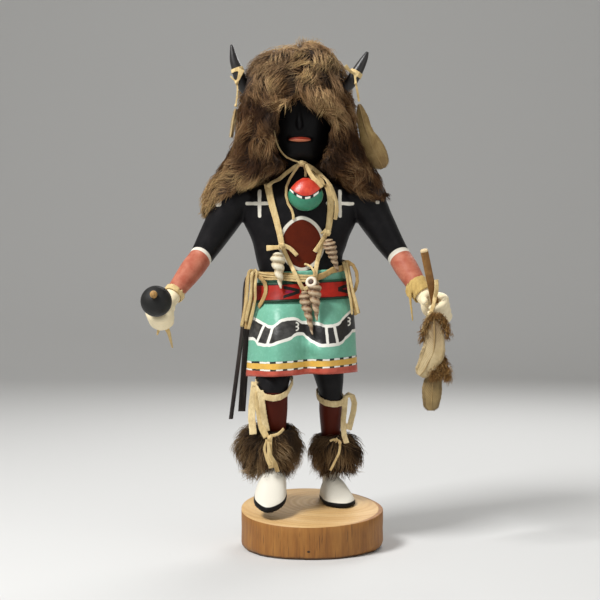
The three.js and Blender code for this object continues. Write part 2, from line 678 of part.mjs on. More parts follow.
// ---- The pendant and the tie under the chin ----
// [height, half width, half depth] of the little painted gourd.
const PENDANT = [
  [294.5, 2.6, 2.2],
  [291.5, 7.2, 5.2],
  [287.5, 11, 7.4],
  [284, 13.2, 8.6],
  [281, 13.8, 9],
  [276.5, 12.8, 8.4],
  [272.5, 9.8, 6.6],
  [269.6, 5.4, 3.8],
  [268.8, 2, 1.6],
];
const PENDANT_PLACE = [4.6, -21.6];
const pendant = loft(PENDANT.map(([z, a, b]) => ring(vec(...PENDANT_PLACE, z), SIDE, BACK, a, b, 12)));
add("pendant", pendant, MATERIALS.pendant);
const collar = [onFigure, onHood, meshOf(necklace)];
const overPendant = [...collar, meshOf(pendant)];
const chinTie = union(
  knot(1.5, -13.5, 306.5, 3),
  lace(
    [[1, 306.5, 7], [-8, 301.5, 1.5], [-16.5, 294.5, 1], [-23.5, 290.5, 1.2], [-25, 287.5, 1.2]],
    3.4,
    collar,
    { lift: 0.7 },
  ),
  lace([[2, 306.5, 7], [9.5, 302, 1.5], [16, 295, 1.2], [18.5, 289, 1.2]], 4.4, collar, { lift: 0.7 }),
  lace(
    [[3, 307, 7], [14, 300.5, 3], [22, 292.5, 2.6], [26.5, 284, 1], [29.5, 273, 0.6], [28, 262, 0.5]],
    3.6,
    collar,
    { lift: 0.9 },
  ),
  lace(
    [[0, 306, 7], [-6.5, 297, 3], [-10.8, 286.5, 3], [-9.5, 275.5, 1], [-5.5, 268, 0.5], [-5, 262]],
    2.2,
    overPendant,
    { lift: 0.6 },
  ),
  lace([[-20.4, 333.5, 0.4], [-19, 325, 0.3], [-15.5, 317], [-10.5, 311.5, 0.4], [1, 307, 5]], 1.5, collar, {
    lift: 1,
    steps: 8,
  }),
  lace([[3, 306.5, 7], [4.6, 301, 6], [4.6, 296, 3]], 2, overPendant, { lift: 0.8 }),
);
add("chin_tie", chinTie, MATERIALS.buckskin);

// ---- Ties and feathers on the horns ----
const collarOf = (stations, from, to, grow = GAP) =>
  sleeve(stations, grow, grow + LACE, { sides: 8, steps: 1, from, to });
const rightHornTie = union(
  collarOf(RIGHT_HORN, 0.6, 0.68),
  knot(-50.2, -2, 371.5, 2.4),
  ribbon([[-50, -1.8, 371.5], [-48, -1.5, 377], [-46, -1.5, 382.4]], widthFrom(2, 5.6)),
  ribbon([[-50, -2, 372], [-53, -2.5, 374], [-55.4, -2.5, 377]], 1.8),
  ribbon([[-50, -2, 371], [-49.6, -2, 364], [-50.6, -1.5, 357], [-51, -1, 353.5]], 2),
  knot(-51, -1, 353.5, 2),
);
add("horn_tie_right", rightHornTie, MATERIALS.buckskin);
add(
  "feather_right",
  union(
    ribbon([[-51.2, -1, 350.8], [-52.6, -1, 341], [-54.4, -1, 330]], 2.4, { across: BACK, thickness: 2.2 }),
    ribbon([[-51.2, 0, 350.8], [-52.6, 2, 341], [-54.4, 3, 330]], widthFrom(6, 10), { across: BACK }),
  ),
  MATERIALS.feather,
);
const leftHornTie = union(
  collarOf(LEFT_HORN, 0.52, 0.62),
  ribbon([[43.5, -1.6, 378.5], [39.5, -3.4, 381], [36, -5.4, 385]], widthFrom(2.4, 4)),
  ribbon([[44, -1.2, 378], [44.6, -1.4, 372], [46, -1, 365], [47.4, 1, 356.5]], 2.4),
  knot(44.6, -1.4, 371, 1.9),
);
add("horn_tie_left", leftHornTie, MATERIALS.buckskin);
const leftVane = (t) => [4, 8, 12.5, 12.5, 3][Math.min(4, Math.round(t * 4))];
add(
  "feather_left",
  ribbon([[47.8, 4, 355], [51, 4, 342], [56, 4, 329.5], [62.5, 3, 318], [66.7, 2, 305.5]], leftVane, {
    thickness: 1.6,
    steps: 4,
  }),
  MATERIALS.feather,
);

// ---- The rattle ----
function alongGrip({ centre, grip }, distance) {
  return centre.clone().addScaledVector(grip.clone().normalize(), distance);
}
const GOURD = { radius: 12, reach: 24 };
const KNOB = { radius: 2.9, reach: 38 };
function ball(centre, radius, wide = 12, high = 8) {
  const sphere = new THREE.SphereGeometry(radius, wide, high);
  sphere.translate(centre.x, centre.y, centre.z);
  return solid(sphere);
}
// The handle and its knob, which is also the cutter for its hole when grown.
function rattleHandle(grow, end) {
  const radius = HANDLE_RADIUS + grow;
  return union(
    rod(RATTLE_HAND.centre, RATTLE_HAND.grip, -15, end, radius, radius, 8),
    ball(alongGrip(RATTLE_HAND, KNOB.reach), KNOB.radius + grow, 8, 6),
  );
}
add("rattle_handle", rattleHandle(0, KNOB.reach - 1), MATERIALS.handle);
const gourd = ball(alongGrip(RATTLE_HAND, GOURD.reach), GOURD.radius);
add("rattle_gourd", gourd.subtract(rattleHandle(GAP, KNOB.reach + 20)), MATERIALS.gourd);
const { x: endX, y: endY, z: endZ } = alongGrip(RATTLE_HAND, -13);
const underHandle = [endX, endY, endZ - 3.4];
add(
  "rattle_tie",
  union(
    shellRod(RATTLE_HAND, -14.4, -11.9, HANDLE_RADIUS + GAP, HANDLE_RADIUS + GAP + 1.2),
    ribbon([underHandle, [-110.5, -20, 177], [-112.6, -20, 170.5]], widthFrom(7, 1.6)),
    ribbon([underHandle, [-104.8, -19, 176.5], [-100.4, -20, 160.5]], widthFrom(7, 1.8)),
  ),
  MATERIALS.buckskin,
);

// ---- Cuffs ----
add(
  "cuff_right",
  sleeve(RIGHT_ARM, 0.7, 0.7 + LEATHER, { sides: 9, steps: 1, from: 0.815, to: 0.885 }),
  MATERIALS.buckskin,
);
add(
  "cuff_left",
  union(
    sleeve(LEFT_ARM, 0.8, 0.8 + LEATHER, { sides: 9, steps: 2, from: 0.75, to: 0.87 }),
    ribbon([[88.2, -19.4, 209], [86.8, -20.5, 202], [88, -21, 192], [89, -21, 182]], widthFrom(3, 1.2)),
    ribbon([[88.2, -19.2, 210.5], [84.8, -19, 208], [84.6, -19, 203.5], [87.2, -20, 200.5]], 2.4),
  ),
  MATERIALS.buckskin,
);

// ---- The dance stick and its feathers ----
const stick = rod(STICK_HAND.centre, STICK_HAND.grip, -STICK.below, STICK.above, STICK.half, STICK.thick, 8);
add("dance_stick", stick, MATERIALS.handle);
const hand = [onFigure, meshOf(stick)];
const stickTie = lace(
  [[105.5, 215, 0.4], [106, 208, 0.4], [105, 201, 0.4], [103.4, 194], [101.6, 189], [98, 181], [95.4, 171]],
  3.4,
  hand,
  { steps: 12 },
);
add("stick_tie", stickTie, MATERIALS.buckskin);

const upperVane = (t) => [3, 9, 19, 18, 13, 3][Math.min(5, Math.round(t * 5))];
add(
  "feather_upper",
  union(
    ribbon(
      [[103.6, -45, 190], [104.6, -45, 180], [104, -45, 170], [102, -44, 159], [98, -43, 150], [92, -42, 142]],
      upperVane,
      { thickness: 1.3, steps: 5 },
    ),
    ribbon([[104, -44.4, 188], [110.5, -43.6, 182], [114, -43, 174], [113.5, -43, 167]], widthFrom(3, 8), {
      thickness: 2.4,
    }),
  ),
  MATERIALS.feather,
);
const lowerVane = (t) => [3, 4, 8, 14, 15.5, 6][Math.min(5, Math.round(t * 5))];
add(
  "feather_lower",
  union(
    ribbon(
      [[108, -40, 174], [109, -40, 163], [109, -39, 152], [107, -39, 137], [104, -38, 124], [102, -38, 113]],
      lowerVane,
      { thickness: 1.3, steps: 5 },
    ),
    ribbon([[109, -40, 158], [113, -40, 147], [116.5, -40, 135]], widthFrom(4, 8), { thickness: 2.6 }),
    ribbon([[108, -39.6, 150], [102.5, -39, 143], [99.5, -39, 135]], widthFrom(4, 7), { thickness: 2.6 }),
  ),
  MATERIALS.feather,
);

// ---- Fur anklets ----
const ANKLET_RIGHT = [
  [-22, -10, 103, 9.5, 8],
  [-24, -9, 97, 21, 17],
  [-25, -10, 87, 27.5, 20.5],
  [-25, -10, 75, 28.5, 21.5],
  [-25, -9.5, 65, 22, 17.5],
  [-25, -8, 58, 14, 11],
];
const ANKLET_LEFT = [
  [27, 17, 92, 9.5, 9],
  [28.5, 19, 87, 18, 15],
  [29.5, 20, 77, 22.5, 18.5],
  [29.5, 20.5, 66, 20.5, 18],
  [29, 21, 57, 13.5, 13],
];
const anklet = (stations, leg, foot) =>
  limb(stations, { sides: 12, steps: 1, level: true })
    .subtract(limb(leg, { sides: 9, steps: 1, grow: 0.8 }))
    .subtract(foot);
const footClear = (place) => moccasin(place, 0.8);
const ankletRight = anklet(ANKLET_RIGHT, RIGHT_LEG, footClear(LEG_FOOT.right));
const ankletLeft = anklet(ANKLET_LEFT, LEFT_LEG, footClear(LEG_FOOT.left));
add("anklet_right", ankletRight, MATERIALS.fur);
add("anklet_left", ankletLeft, MATERIALS.fur);

// ---- Garters under the knees, with hanging ends ----
const dipped = (front, side, back) => (bearing) => {
  const toFront = (1 + Math.cos(bearing)) / 2;
  return toFront > 0.5 ? mix(side, front, 2 * toFront - 1) : mix(back, side, 2 * toFront);
};
const legs = [onFigure];
const overRightAnklet = [onFigure, meshOf(ankletRight)];
const garterRight = union(
  hoop([-20.6, -19], dipped(122, 133, 137), 5.2, legs, { stops: 15, from: 30, lift: 1.9 }),
  ribbon([[-35.4, -20, 134], [-36.4, -22, 124], [-38, -25, 110], [-37.2, -29, 101], [-36.4, -31.6, 93.5]], 6),
  lace([[-31, 128, 0.6], [-29.6, 119, 0.6], [-28.2, 108], [-25.8, 95.5]], 5.2, overRightAnklet, { lift: 1.2 }),
  knot(-35.8, -20, 131.5, 2.6),
);
add("garter_right", garterRight, MATERIALS.buckskin);
const garterLeft = union(
  hoop([25, 11], (bearing) => dipped(114, 119, 126)(bearing - 0.35), 5.2, legs, { stops: 14, from: 18 }),
  knot(36.8, 8, 118.5, 2.6),
  ribbon([[37, 8, 119], [40, 7, 122], [43.6, 7, 118], [44, 7, 111], [42, 6, 102], [39.6, 4, 93]], 4.8),
  ribbon([[36.8, 7, 118], [36, 6, 108], [35, 4.5, 98], [35.6, 1.6, 90], [37.8, 0, 82.5]], 4.6),
);
add("garter_left", garterLeft, MATERIALS.buckskin);

// ---- The anklets' ties ----
add(
  "anklet_tie_right",
  union(
    knot(-23.4, -31.6, 91, 2.6),
    lace([[-23.4, 91.5], [-23.6, 84], [-23.4, 76], [-22.4, 67]], 4, [meshOf(ankletRight)]),
    lace([[-23.4, 92], [-17, 93.5], [-12.5, 97.5]], 2.4, [meshOf(ankletRight)]),
  ),
  MATERIALS.buckskin,
);
add(
  "anklet_tie_left",
  union(
    lace([[32.5, 84], [32, 76], [28.5, 68], [24.5, 60]], 2.6, [meshOf(ankletLeft)]),
    lace([[32.5, 84], [28, 85.5], [24, 84]], 2.4, [meshOf(ankletLeft)]),
    knot(32.3, 0.4, 83, 2.2),
  ),
  MATERIALS.buckskin,
);

// ---- The two painted slats that hang at the right hip ----
const slat = (places, wide, deep) =>
  loft(places.map(([x, y, z]) => ring(vec(x, y, z), SIDE, BACK, wide / 2, deep / 2, 4, 40)));
const longSlat = slat([[-42.6, 11, 216], [-44.4, 12, 206], [-46.6, 13, 173.5], [-56, 14, 101]], 3.4, 8);
add("sash_slat_long", longSlat, MATERIALS.slat);
add("sash_slat_short", slat([[-42.6, 24, 196], [-43, 24, 174], [-47.6, 24, 106]], 6, 3), MATERIALS.slat);

export default part;
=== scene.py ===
"""The looks of a carved and painted kachina doll of a horned buffalo dancer, built round its CAD frame.

Shapes are worked out in millimetres in the doll's own coordinates and become metres when a piece is made.
Right and left are the doll's own, so its right side is at -X.
"""

import math
from functools import partialmethod

import bmesh
import bpy
import numpy as np
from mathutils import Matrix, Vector
from mathutils.bvhtree import BVHTree


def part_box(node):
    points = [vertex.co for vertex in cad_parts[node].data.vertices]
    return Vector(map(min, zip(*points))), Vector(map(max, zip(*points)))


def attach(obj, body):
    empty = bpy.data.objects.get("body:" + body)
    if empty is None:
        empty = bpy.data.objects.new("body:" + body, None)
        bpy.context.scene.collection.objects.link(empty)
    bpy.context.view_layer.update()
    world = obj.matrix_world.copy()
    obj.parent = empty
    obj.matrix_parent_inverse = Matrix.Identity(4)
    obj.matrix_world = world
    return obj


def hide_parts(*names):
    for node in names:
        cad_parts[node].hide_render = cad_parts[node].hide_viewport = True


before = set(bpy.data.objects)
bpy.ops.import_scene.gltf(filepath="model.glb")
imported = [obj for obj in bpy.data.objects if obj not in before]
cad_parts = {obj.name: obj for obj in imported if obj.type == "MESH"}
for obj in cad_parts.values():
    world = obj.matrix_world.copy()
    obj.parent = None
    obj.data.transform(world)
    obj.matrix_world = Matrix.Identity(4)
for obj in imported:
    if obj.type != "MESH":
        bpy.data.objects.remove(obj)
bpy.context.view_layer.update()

MM = 0.001
FIGURE_X = -9.0  # the doll stands a little to one side of the slab's middle
AXIS_Y = 8.0  # the torso's depth axis
BACK = np.array([0.0, 1.0, 0.0])
UP = np.array([0.0, 0.0, 1.0])
SIDE = np.array([1.0, 0.0, 0.0])
ORIGIN = np.array([FIGURE_X, 0.0, 0.0])
SLAB = {"radius": 57.0, "height": 31.2, "slope_y": 0.1, "slope_x": -0.014}


# ---- The camera, the light and the floor ----
CAMERA_AT = (-0.0088, -1.150, 0.230)
CAMERA_AIM = (-0.0088, 0.0, 0.198)
LENS_MM = 86.0
LIGHT_AIM = (0.0, 0.0, 0.22)


def new_object(name, data):
    obj = bpy.data.objects.new(name, data)
    bpy.context.scene.collection.objects.link(obj)
    return obj


def aimed(name, data, at, aim):
    """A camera or a light at one place, turned to face another."""
    obj = new_object(name, data)
    obj.location = at
    obj.rotation_mode = "QUATERNION"
    obj.rotation_quaternion = (Vector(aim) - Vector(at)).to_track_quat("-Z", "Y")
    return obj


def make_camera():
    data = bpy.data.cameras.new("camera")
    data.lens = LENS_MM
    data.sensor_width = 36.0
    bpy.context.scene.camera = aimed("camera", data, CAMERA_AT, CAMERA_AIM)


def make_light(name, at, size, watts):
    data = bpy.data.lights.new(name, "AREA")
    data.size = size
    data.energy = watts
    aimed(name, data, at, LIGHT_AIM)


def make_studio():
    make_light("key", (-0.75, -0.66, 1.3), 0.42, 26.0)
    make_light("fill", (1.1, -1.0, 0.6), 1.0, 3.0)
    make_light("rim", (0.35, 0.95, 0.95), 0.6, 7.0)
    world = bpy.data.worlds.new("studio")
    world.use_nodes = True
    background = world.node_tree.nodes["Background"]
    background.inputs["Color"].default_value = (0.92, 0.9, 0.87, 1)
    background.inputs["Strength"].default_value = 0.36
    bpy.context.scene.world = world
    bpy.context.scene.view_settings.view_transform = "Standard"


def make_floor():
    """A pale floor, a hair below the slab, that curves up into a wall behind the doll."""
    half, near, depth, bend, top, drop = 3.0, -3.0, 1.6, 0.8, 2.2, 0.0002
    angles = np.linspace(0, math.pi / 2, 13)
    turn = [(depth + bend * math.sin(a), bend - bend * math.cos(a)) for a in angles]
    profile = [(near, 0.0), *turn, (depth + bend, top)]
    points = [(x, y, z - drop) for y, z in profile for x in (-half, half)]
    faces = [(2 * i, 2 * i + 1, 2 * i + 3, 2 * i + 2) for i in range(len(profile) - 1)]
    mesh = bpy.data.meshes.new("floor")
    mesh.from_pydata(points, [], faces)
    mesh.polygons.foreach_set("use_smooth", [True] * len(faces))
    material = bpy.data.materials.new("pale_floor")
    material.use_nodes = True
    shader = material.node_tree.nodes["Principled BSDF"]
    shader.inputs["Base Color"].default_value = (0.62, 0.62, 0.61, 1)
    shader.inputs["Roughness"].default_value = 0.9
    mesh.materials.append(material)
    new_object("floor", mesh)


# ---- Paint: numbers and colours that vary over a surface ----
def rgb(red, green, blue):
    """A colour from 0 to 255 as it looks on a screen, as the linear colour that a shader takes."""
    shares = [value / 255 for value in (red, green, blue)]
    return (*[s / 12.92 if s <= 0.04045 else ((s + 0.055) / 1.055) ** 2.4 for s in shares], 1.0)


class Field:
    """A number at each point of a surface, as a shader node's output."""

    def __init__(self, tree, socket):
        self.tree = tree
        self.socket = socket

    def maths(self, operation, *others, clamp=False):
        node = self.tree.nodes.new("ShaderNodeMath")
        node.operation = operation
        node.use_clamp = clamp
        for slot, value in zip(node.inputs, (self, *others)):
            if isinstance(value, Field):
                self.tree.links.new(value.socket, slot)
            else:
                slot.default_value = value
        return Field(self.tree, node.outputs[0])

    __add__ = partialmethod(maths, "ADD")
    __sub__ = partialmethod(maths, "SUBTRACT")
    __mul__ = partialmethod(maths, "MULTIPLY")
    __truediv__ = partialmethod(maths, "DIVIDE")
    __pow__ = partialmethod(maths, "POWER")
    __abs__ = partialmethod(maths, "ABSOLUTE")
    __and__ = partialmethod(maths, "MULTIPLY")
    __or__ = partialmethod(maths, "MAXIMUM")

    def flipped(self):
        """One minus this."""
        return self.maths("MULTIPLY_ADD", -1.0, 1.0)

    def below(self, limit, blur=0.3):
        """1 where this is less than the limit, 0 where it is more, with an edge as wide as the blur."""
        return ((self - limit) / -blur).maths("ADD", 0.5, clamp=True)

    def above(self, limit, blur=0.3):
        return ((self - limit) / blur).maths("ADD", 0.5, clamp=True)

    def between(self, low, high, blur=0.3):
        return self.above(low, blur) & self.below(high, blur)

    def sine(self, period):
        return (self * (2 * math.pi / period)).maths("SINE")

    def curve(self, points):
        """Another number that follows from this one along a smooth curve through (this, other) points."""
        xs, ys = zip(*points)
        low, high = min(xs), max(xs)
        floor, ceiling = min(ys), max(ys)
        node = self.tree.nodes.new("ShaderNodeFloatCurve")
        handles = node.mapping.curves[0].points
        while len(handles) < len(points):
            handles.new(0.5, 0.5)
        for handle, (x, y) in zip(handles, points):
            handle.location = ((x - low) / (high - low), (y - floor) / (ceiling - floor))
        node.mapping.update()
        share = ((self - low) / (high - low)).maths("MAXIMUM", 0.0, clamp=True)
        self.tree.links.new(share.socket, node.inputs["Value"])
        return Field(self.tree, node.outputs[0]) * (ceiling - floor) + floor


class Finish:
    """A material in the making: a shader, the place on the surface in millimetres, and layers of colour."""

    def __init__(self, name, colour, roughness, specular=0.5, sheen=0.0):
        self.material = bpy.data.materials.new(name)
        self.material.use_nodes = True
        self.tree = self.material.node_tree
        self.shader = self.tree.nodes["Principled BSDF"]
        self.shader.inputs["Roughness"].default_value = roughness
        self.shader.inputs["Specular IOR Level"].default_value = specular
        self.shader.inputs["Sheen Weight"].default_value = sheen
        base = self.tree.nodes.new("ShaderNodeRGB")
        base.outputs[0].default_value = rgb(*colour)
        self.colour = base.outputs[0]
        self.place = self.tree.nodes.new("ShaderNodeTexCoord").outputs["Object"]
        split = self.tree.nodes.new("ShaderNodeSeparateXYZ")
        self.tree.links.new(self.place, split.inputs[0])
        self.x, self.y, self.z = [Field(self.tree, out) / MM for out in split.outputs]
        self.x = self.x - FIGURE_X
        self.height = None

    def along(self, start, way):
        """How far the surface lies from a place, measured in a direction."""
        x, y, z = ((field - s) * w for field, s, w in zip((self.x, self.y, self.z), start, way))
        return x + y + z

    def noise(self, size, detail, tall=1.0, shift=0.0):
        """Cloudy noise around 0.5, with patches size millimetres wide and tall times as high."""
        scaled = self.tree.nodes.new("ShaderNodeVectorMath")
        scaled.operation = "MULTIPLY_ADD"
        scaled.inputs[1].default_value = [1 / (size * MM * s) for s in (1, 1, tall)]
        scaled.inputs[2].default_value = (shift, shift, shift)
        self.tree.links.new(self.place, scaled.inputs[0])
        node = self.tree.nodes.new("ShaderNodeTexNoise")
        node.inputs["Scale"].default_value = 1.0
        node.inputs["Detail"].default_value = detail
        node.inputs["Roughness"].default_value = 0.55
        self.tree.links.new(scaled.outputs[0], node.inputs["Vector"])
        return Field(self.tree, node.outputs[0])

    def attribute(self, name):
        node = self.tree.nodes.new("ShaderNodeAttribute")
        node.attribute_name = name
        return Field(self.tree, node.outputs["Fac"])

    def layer(self, mask, colour):
        """Paints a colour over what is there, as far as the mask says."""
        node = self.tree.nodes.new("ShaderNodeMix")
        node.data_type = "RGBA"
        self.tree.links.new(mask.socket, node.inputs["Factor"])
        self.tree.links.new(self.colour, node.inputs[6])
        node.inputs[7].default_value = rgb(*colour)
        self.colour = node.outputs[2]

    def clouds(self, colour, size, share, within=None, detail=4, limit=0.5, blur=0.3, tall=1.0, shift=0.0):
        """Paints patches of a colour where noise is over a limit, as strongly as the share says."""
        mask = self.noise(size, detail, tall, shift).above(limit, blur) * share
        self.layer(mask if within is None else within & mask, colour)

    def rise(self, field, millimetres):
        """Adds a bump: the surface stands this much higher where the field is 1."""
        lifted = field * millimetres
        self.height = lifted if self.height is None else self.height + lifted

    def bumps(self, *rows):
        """Adds bumps of noise, each from its size, its detail, its height and how tall its patches are."""
        for size, detail, height, *tall in rows:
            self.rise(self.noise(size, detail, *tall), height)

    def done(self):
        self.tree.links.new(self.colour, self.shader.inputs["Base Color"])
        if self.height is not None:
            bump = self.tree.nodes.new("ShaderNodeBump")
            bump.inputs["Strength"].default_value = 1.0
            bump.inputs["Distance"].default_value = MM
            self.tree.links.new(self.height.socket, bump.inputs["Height"])
            self.tree.links.new(bump.outputs[0], self.shader.inputs["Normal"])
        return self.material


def length_of(a, b):
    """The length of a vector with these two parts."""
    return (a * a + b * b).maths("SQRT")


# ---- Shapes ----
def smooth_path(stations, count, first=0.0, last=1.0):
    """A smooth curve through rows of numbers, sampled evenly by row between two shares of it."""
    rows = np.asarray(stations, float)
    t = np.linspace(first, last, count) * (len(rows) - 1)
    i = np.minimum(t.astype(int), len(rows) - 2)
    f = (t - i)[:, None]
    padded = np.vstack([2 * rows[0] - rows[1], rows, 2 * rows[-1] - rows[-2]])
    a, b, c, d = (padded[i + k] for k in range(4))
    return 0.5 * (2 * b + (c - a) * f + (2 * a - 5 * b + 4 * c - d) * f**2 + (3 * b - a - 3 * c + d) * f**3)


def bell(values):
    """1 where a value is 0, and falling off on both sides."""
    return np.exp(-(values**2))


def unit(vectors):
    return vectors / np.maximum(np.linalg.norm(vectors, axis=-1, keepdims=True), 1e-9)


def ring(centre, u, v, a, b, sides, power=2.0):
    """A closed outline of superellipse shape round a centre. Arrays of centres give arrays of outlines."""
    angle = (np.arange(sides) + 0.5) / sides * 2 * math.pi
    cu = np.sign(np.cos(angle)) * np.abs(np.cos(angle)) ** (2 / power)
    cv = np.sign(np.sin(angle)) * np.abs(np.sin(angle)) ** (2 / power)
    across = np.multiply.outer(np.asarray(a, float), cu)[..., None] * np.expand_dims(u, -2)
    deep = np.multiply.outer(np.asarray(b, float), cv)[..., None] * np.expand_dims(v, -2)
    return np.expand_dims(centre, -2) + across + deep


def rings(stations, sides=40, steps=6, grow=0.0, power=2.0, first=0.0, last=1.0):
    """Outlines across a smooth path through stations (x, y, z, half width, half depth)."""
    full = [row if len(row) == 5 else (*row, row[3]) for row in stations]
    samples = smooth_path(full, max(2, round((len(full) - 1) * steps * (last - first)) + 1), first, last)
    centre = samples[:, :3]
    along = unit(np.gradient(centre, axis=0))
    v = unit(BACK - along * (along @ BACK)[:, None])
    u = np.cross(v, along)
    half = np.maximum(samples[:, 3:] + grow, 0.2)
    return ring(centre, u, v, half[:, 0], half[:, 1], sides, power)


def loft(sections, loop=False):
    """Points and faces through closed outlines, with flat ends, or joined end to end."""
    sections = np.asarray(sections, float)
    count, sides = sections.shape[:2]
    i, j = np.meshgrid(np.arange(count if loop else count - 1), np.arange(sides), indexing="ij")
    i, j = i.ravel(), j.ravel()
    k, m = (i + 1) % count, (j + 1) % sides
    quads = np.stack([i * sides + j, i * sides + m, k * sides + m, k * sides + j], axis=1)
    faces = [tuple(q) for q in quads.tolist()]
    if not loop:
        faces.append(tuple(range(sides))[::-1])
        faces.append(tuple(range((count - 1) * sides, count * sides)))
    return sections.reshape(-1, 3), faces


def joined(*shapes):
    """Several shapes, each points and faces, as one."""
    points, faces, start = [], [], 0
    for some_points, some_faces in shapes:
        points.append(some_points)
        faces += [tuple(index + start for index in face) for face in some_faces]
        start += len(some_points)
    return np.vstack(points), faces


def make(name, shape, material=None):
    """A smoothly shaded mesh object from points in millimetres in the doll's coordinates."""
    points, faces = shape
    mesh = bpy.data.meshes.new(name)
    mesh.from_pydata(((points + ORIGIN) * MM).tolist(), [], faces)
    work = bmesh.new()
    work.from_mesh(mesh)
    bmesh.ops.recalc_face_normals(work, faces=work.faces)
    work.to_mesh(mesh)
    work.free()
    mesh.polygons.foreach_set("use_smooth", [True] * len(mesh.polygons))
    if material:
        mesh.materials.append(material)
    return new_object(name, mesh)


def applied(obj):
    """Turns an object's modifiers into its mesh."""
    graph = bpy.context.evaluated_depsgraph_get()
    made = bpy.data.meshes.new_from_object(obj.evaluated_get(graph))
    obj.modifiers.clear()
    old = obj.data
    obj.data = made
    bpy.data.meshes.remove(old)
    made.validate()
    made.polygons.foreach_set("use_smooth", [True] * len(made.polygons))
    return obj


def remeshed(obj, voxel, rounds, keep):
    """Joins an object's shells into one skin of cells voxel millimetres wide, smooths it and thins it out."""
    remesh = obj.modifiers.new("skin", "REMESH")
    remesh.mode = "VOXEL"
    remesh.voxel_size = voxel * MM
    smooth = obj.modifiers.new("smooth", "SMOOTH")
    smooth.factor = 0.5
    smooth.iterations = rounds
    obj.modifiers.new("fewer", "DECIMATE").ratio = keep
    return applied(obj)


def vertex_spots(mesh):
    """Where a mesh's vertices are, in millimetres."""
    spots = np.empty(len(mesh.vertices) * 3)
    mesh.vertices.foreach_get("co", spots)
    return spots.reshape(-1, 3) / MM


def sink(obj, depth):
    """Moves an object's surface inwards by millimetres, one number or one for each vertex."""
    mesh = obj.data
    normals = np.empty(len(mesh.vertices) * 3)
    mesh.vertices.foreach_get("normal", normals)
    depth = np.broadcast_to(depth, len(mesh.vertices))
    sunk = vertex_spots(mesh) - normals.reshape(-1, 3) * depth[:, None]
    mesh.vertices.foreach_set("co", (sunk * MM).ravel())
    mesh.update()


def set_values(mesh, name, values):
    """Gives each vertex of a mesh a number that its material reads."""
    attribute = mesh.attributes.new(name, "FLOAT", "POINT")
    attribute.data.foreach_set("value", values.ravel().astype(np.float32))


def cut_off(obj, point, onward):
    """Cuts away what lies before a plane, and closes the cut."""
    shape = bmesh.new()
    shape.from_mesh(obj.data)
    whole = shape.verts[:] + shape.edges[:] + shape.faces[:]
    cut = bmesh.ops.bisect_plane(shape, geom=whole, plane_co=point, plane_no=onward, clear_inner=True)
    rim = [item for item in cut["geom_cut"] if isinstance(item, bmesh.types.BMEdge)]
    bmesh.ops.triangle_fill(shape, edges=rim, use_beauty=True)
    shape.to_mesh(obj.data)
    shape.free()


def copy_of(node, name):
    """A new object with a CAD node's mesh."""
    obj = new_object(name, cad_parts[node].data.copy())
    obj.data.materials.clear()
    return obj


def place(obj, slot, *nodes):
    """Puts a finished piece on the part's one body, in the place of CAD nodes."""
    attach(obj, "root")
    if nodes:
        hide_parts(*nodes)


# ---- The carved figure ----
# Stations are (x, y, z, half width, half depth), or (x, y, z, radius), in the doll's millimetres.
TORSO = [
    (0, 8, 314, 11, 11),
    (0, 8, 301, 13, 12),
    (0, 8, 293, 24, 14),
    (0, 8, 285, 43, 17),
    (0, 7.5, 275, 49, 20),
    (0, 7, 262, 46, 21),
    (0, 7, 248, 39.5, 19.5),
    (0, 8, 234, 35.5, 18),
    (1.5, 8, 220, 33, 17.5),
    (2, 8, 204, 33, 18),
    (2, 8, 186, 35, 20.5),
    (2, 8, 168, 35.5, 23),
    (2, 8, 154, 29, 19),
    (2, 8, 148, 14, 9),
]
HEAD = [
    (0, 4, 307, 7, 7),
    (0, 4, 309, 13, 13),
    (0, 4, 315, 20.5, 20.5),
    (0, 5, 326, 25.5, 25),
    (0, 6, 344, 28, 28),
    (0, 7, 362, 27, 27),
    (0, 8, 376, 20, 20),
    (0, 8, 384, 8, 8),
]
# By side: -1 is the doll's right and 1 its left. A grip's axis points up out of the fist.
ELBOWS = {-1: (-80, 6, 232), 1: (80, 6, 233)}
WRISTS = {-1: (-99, -20, 204), 1: (97.5, -16, 203)}
HANDS = {-1: (-108.5, -33, 189), 1: (107, -26, 192)}
GRIPS = {-1: (-0.05, -0.915, 0.4), 1: (-0.22, -0.5, 0.84)}
KNUCKLES = {-1: 1, 1: -1}  # which way round the grip the knuckles lie
RIGHT_LEG = [
    (-14, 8, 174, 15, 18),
    (-18, -3, 154, 15, 16),
    (-20.5, -17, 136, 12.6, 13),
    (-20.8, -20, 124, 11.4, 11.4),
    (-20.5, -17, 110, 10.8, 10.4),
    (-20, -11, 92, 8.6, 8.6),
    (-20.5, -5, 74, 6.9, 6.9),
    (-21, -3, 60, 7, 7),
]
LEFT_LEG = [
    (16, 8, 174, 16, 18),
    (21, 9, 152, 14.5, 15.5),
    (24, 9, 134, 11.6, 12.4),
    (25, 10, 122, 9.6, 10.4),
    (25.2, 14, 106, 9.3, 9.4),
    (25.3, 19, 86, 7.6, 8),
    (25.5, 23, 66, 6.4, 6.6),
    (25.5, 25, 48, 7, 7),
]
# Millimetres, but for the angles in radians at which the fingers start and, on each hand, how far they curl.
FIST = {
    "ring": 8.4,
    "half_height": 11.0,
    "palm_deep": 5.8,
    "palm_wide": 8.6,
    "finger": 3.2,
    "finger_half": 2.7,
    "finger_pitch": 5.1,
    "start": -0.25,
}
THUMB = {"radius": 8.0, "rise": 10.2, "half_rise": 3.1, "thick": 3.0, "start": 0.1, "sweep": -1.9}
FINGER_SWEEP = {-1: 5.7, 1: 4.9}
# How far below each elbow the white band ends and the cuff begins.
BAND_ENDS = {-1: 1.5, 1: 2.5}
CUFF_TOPS = {-1: 40.4, 1: 29.0}
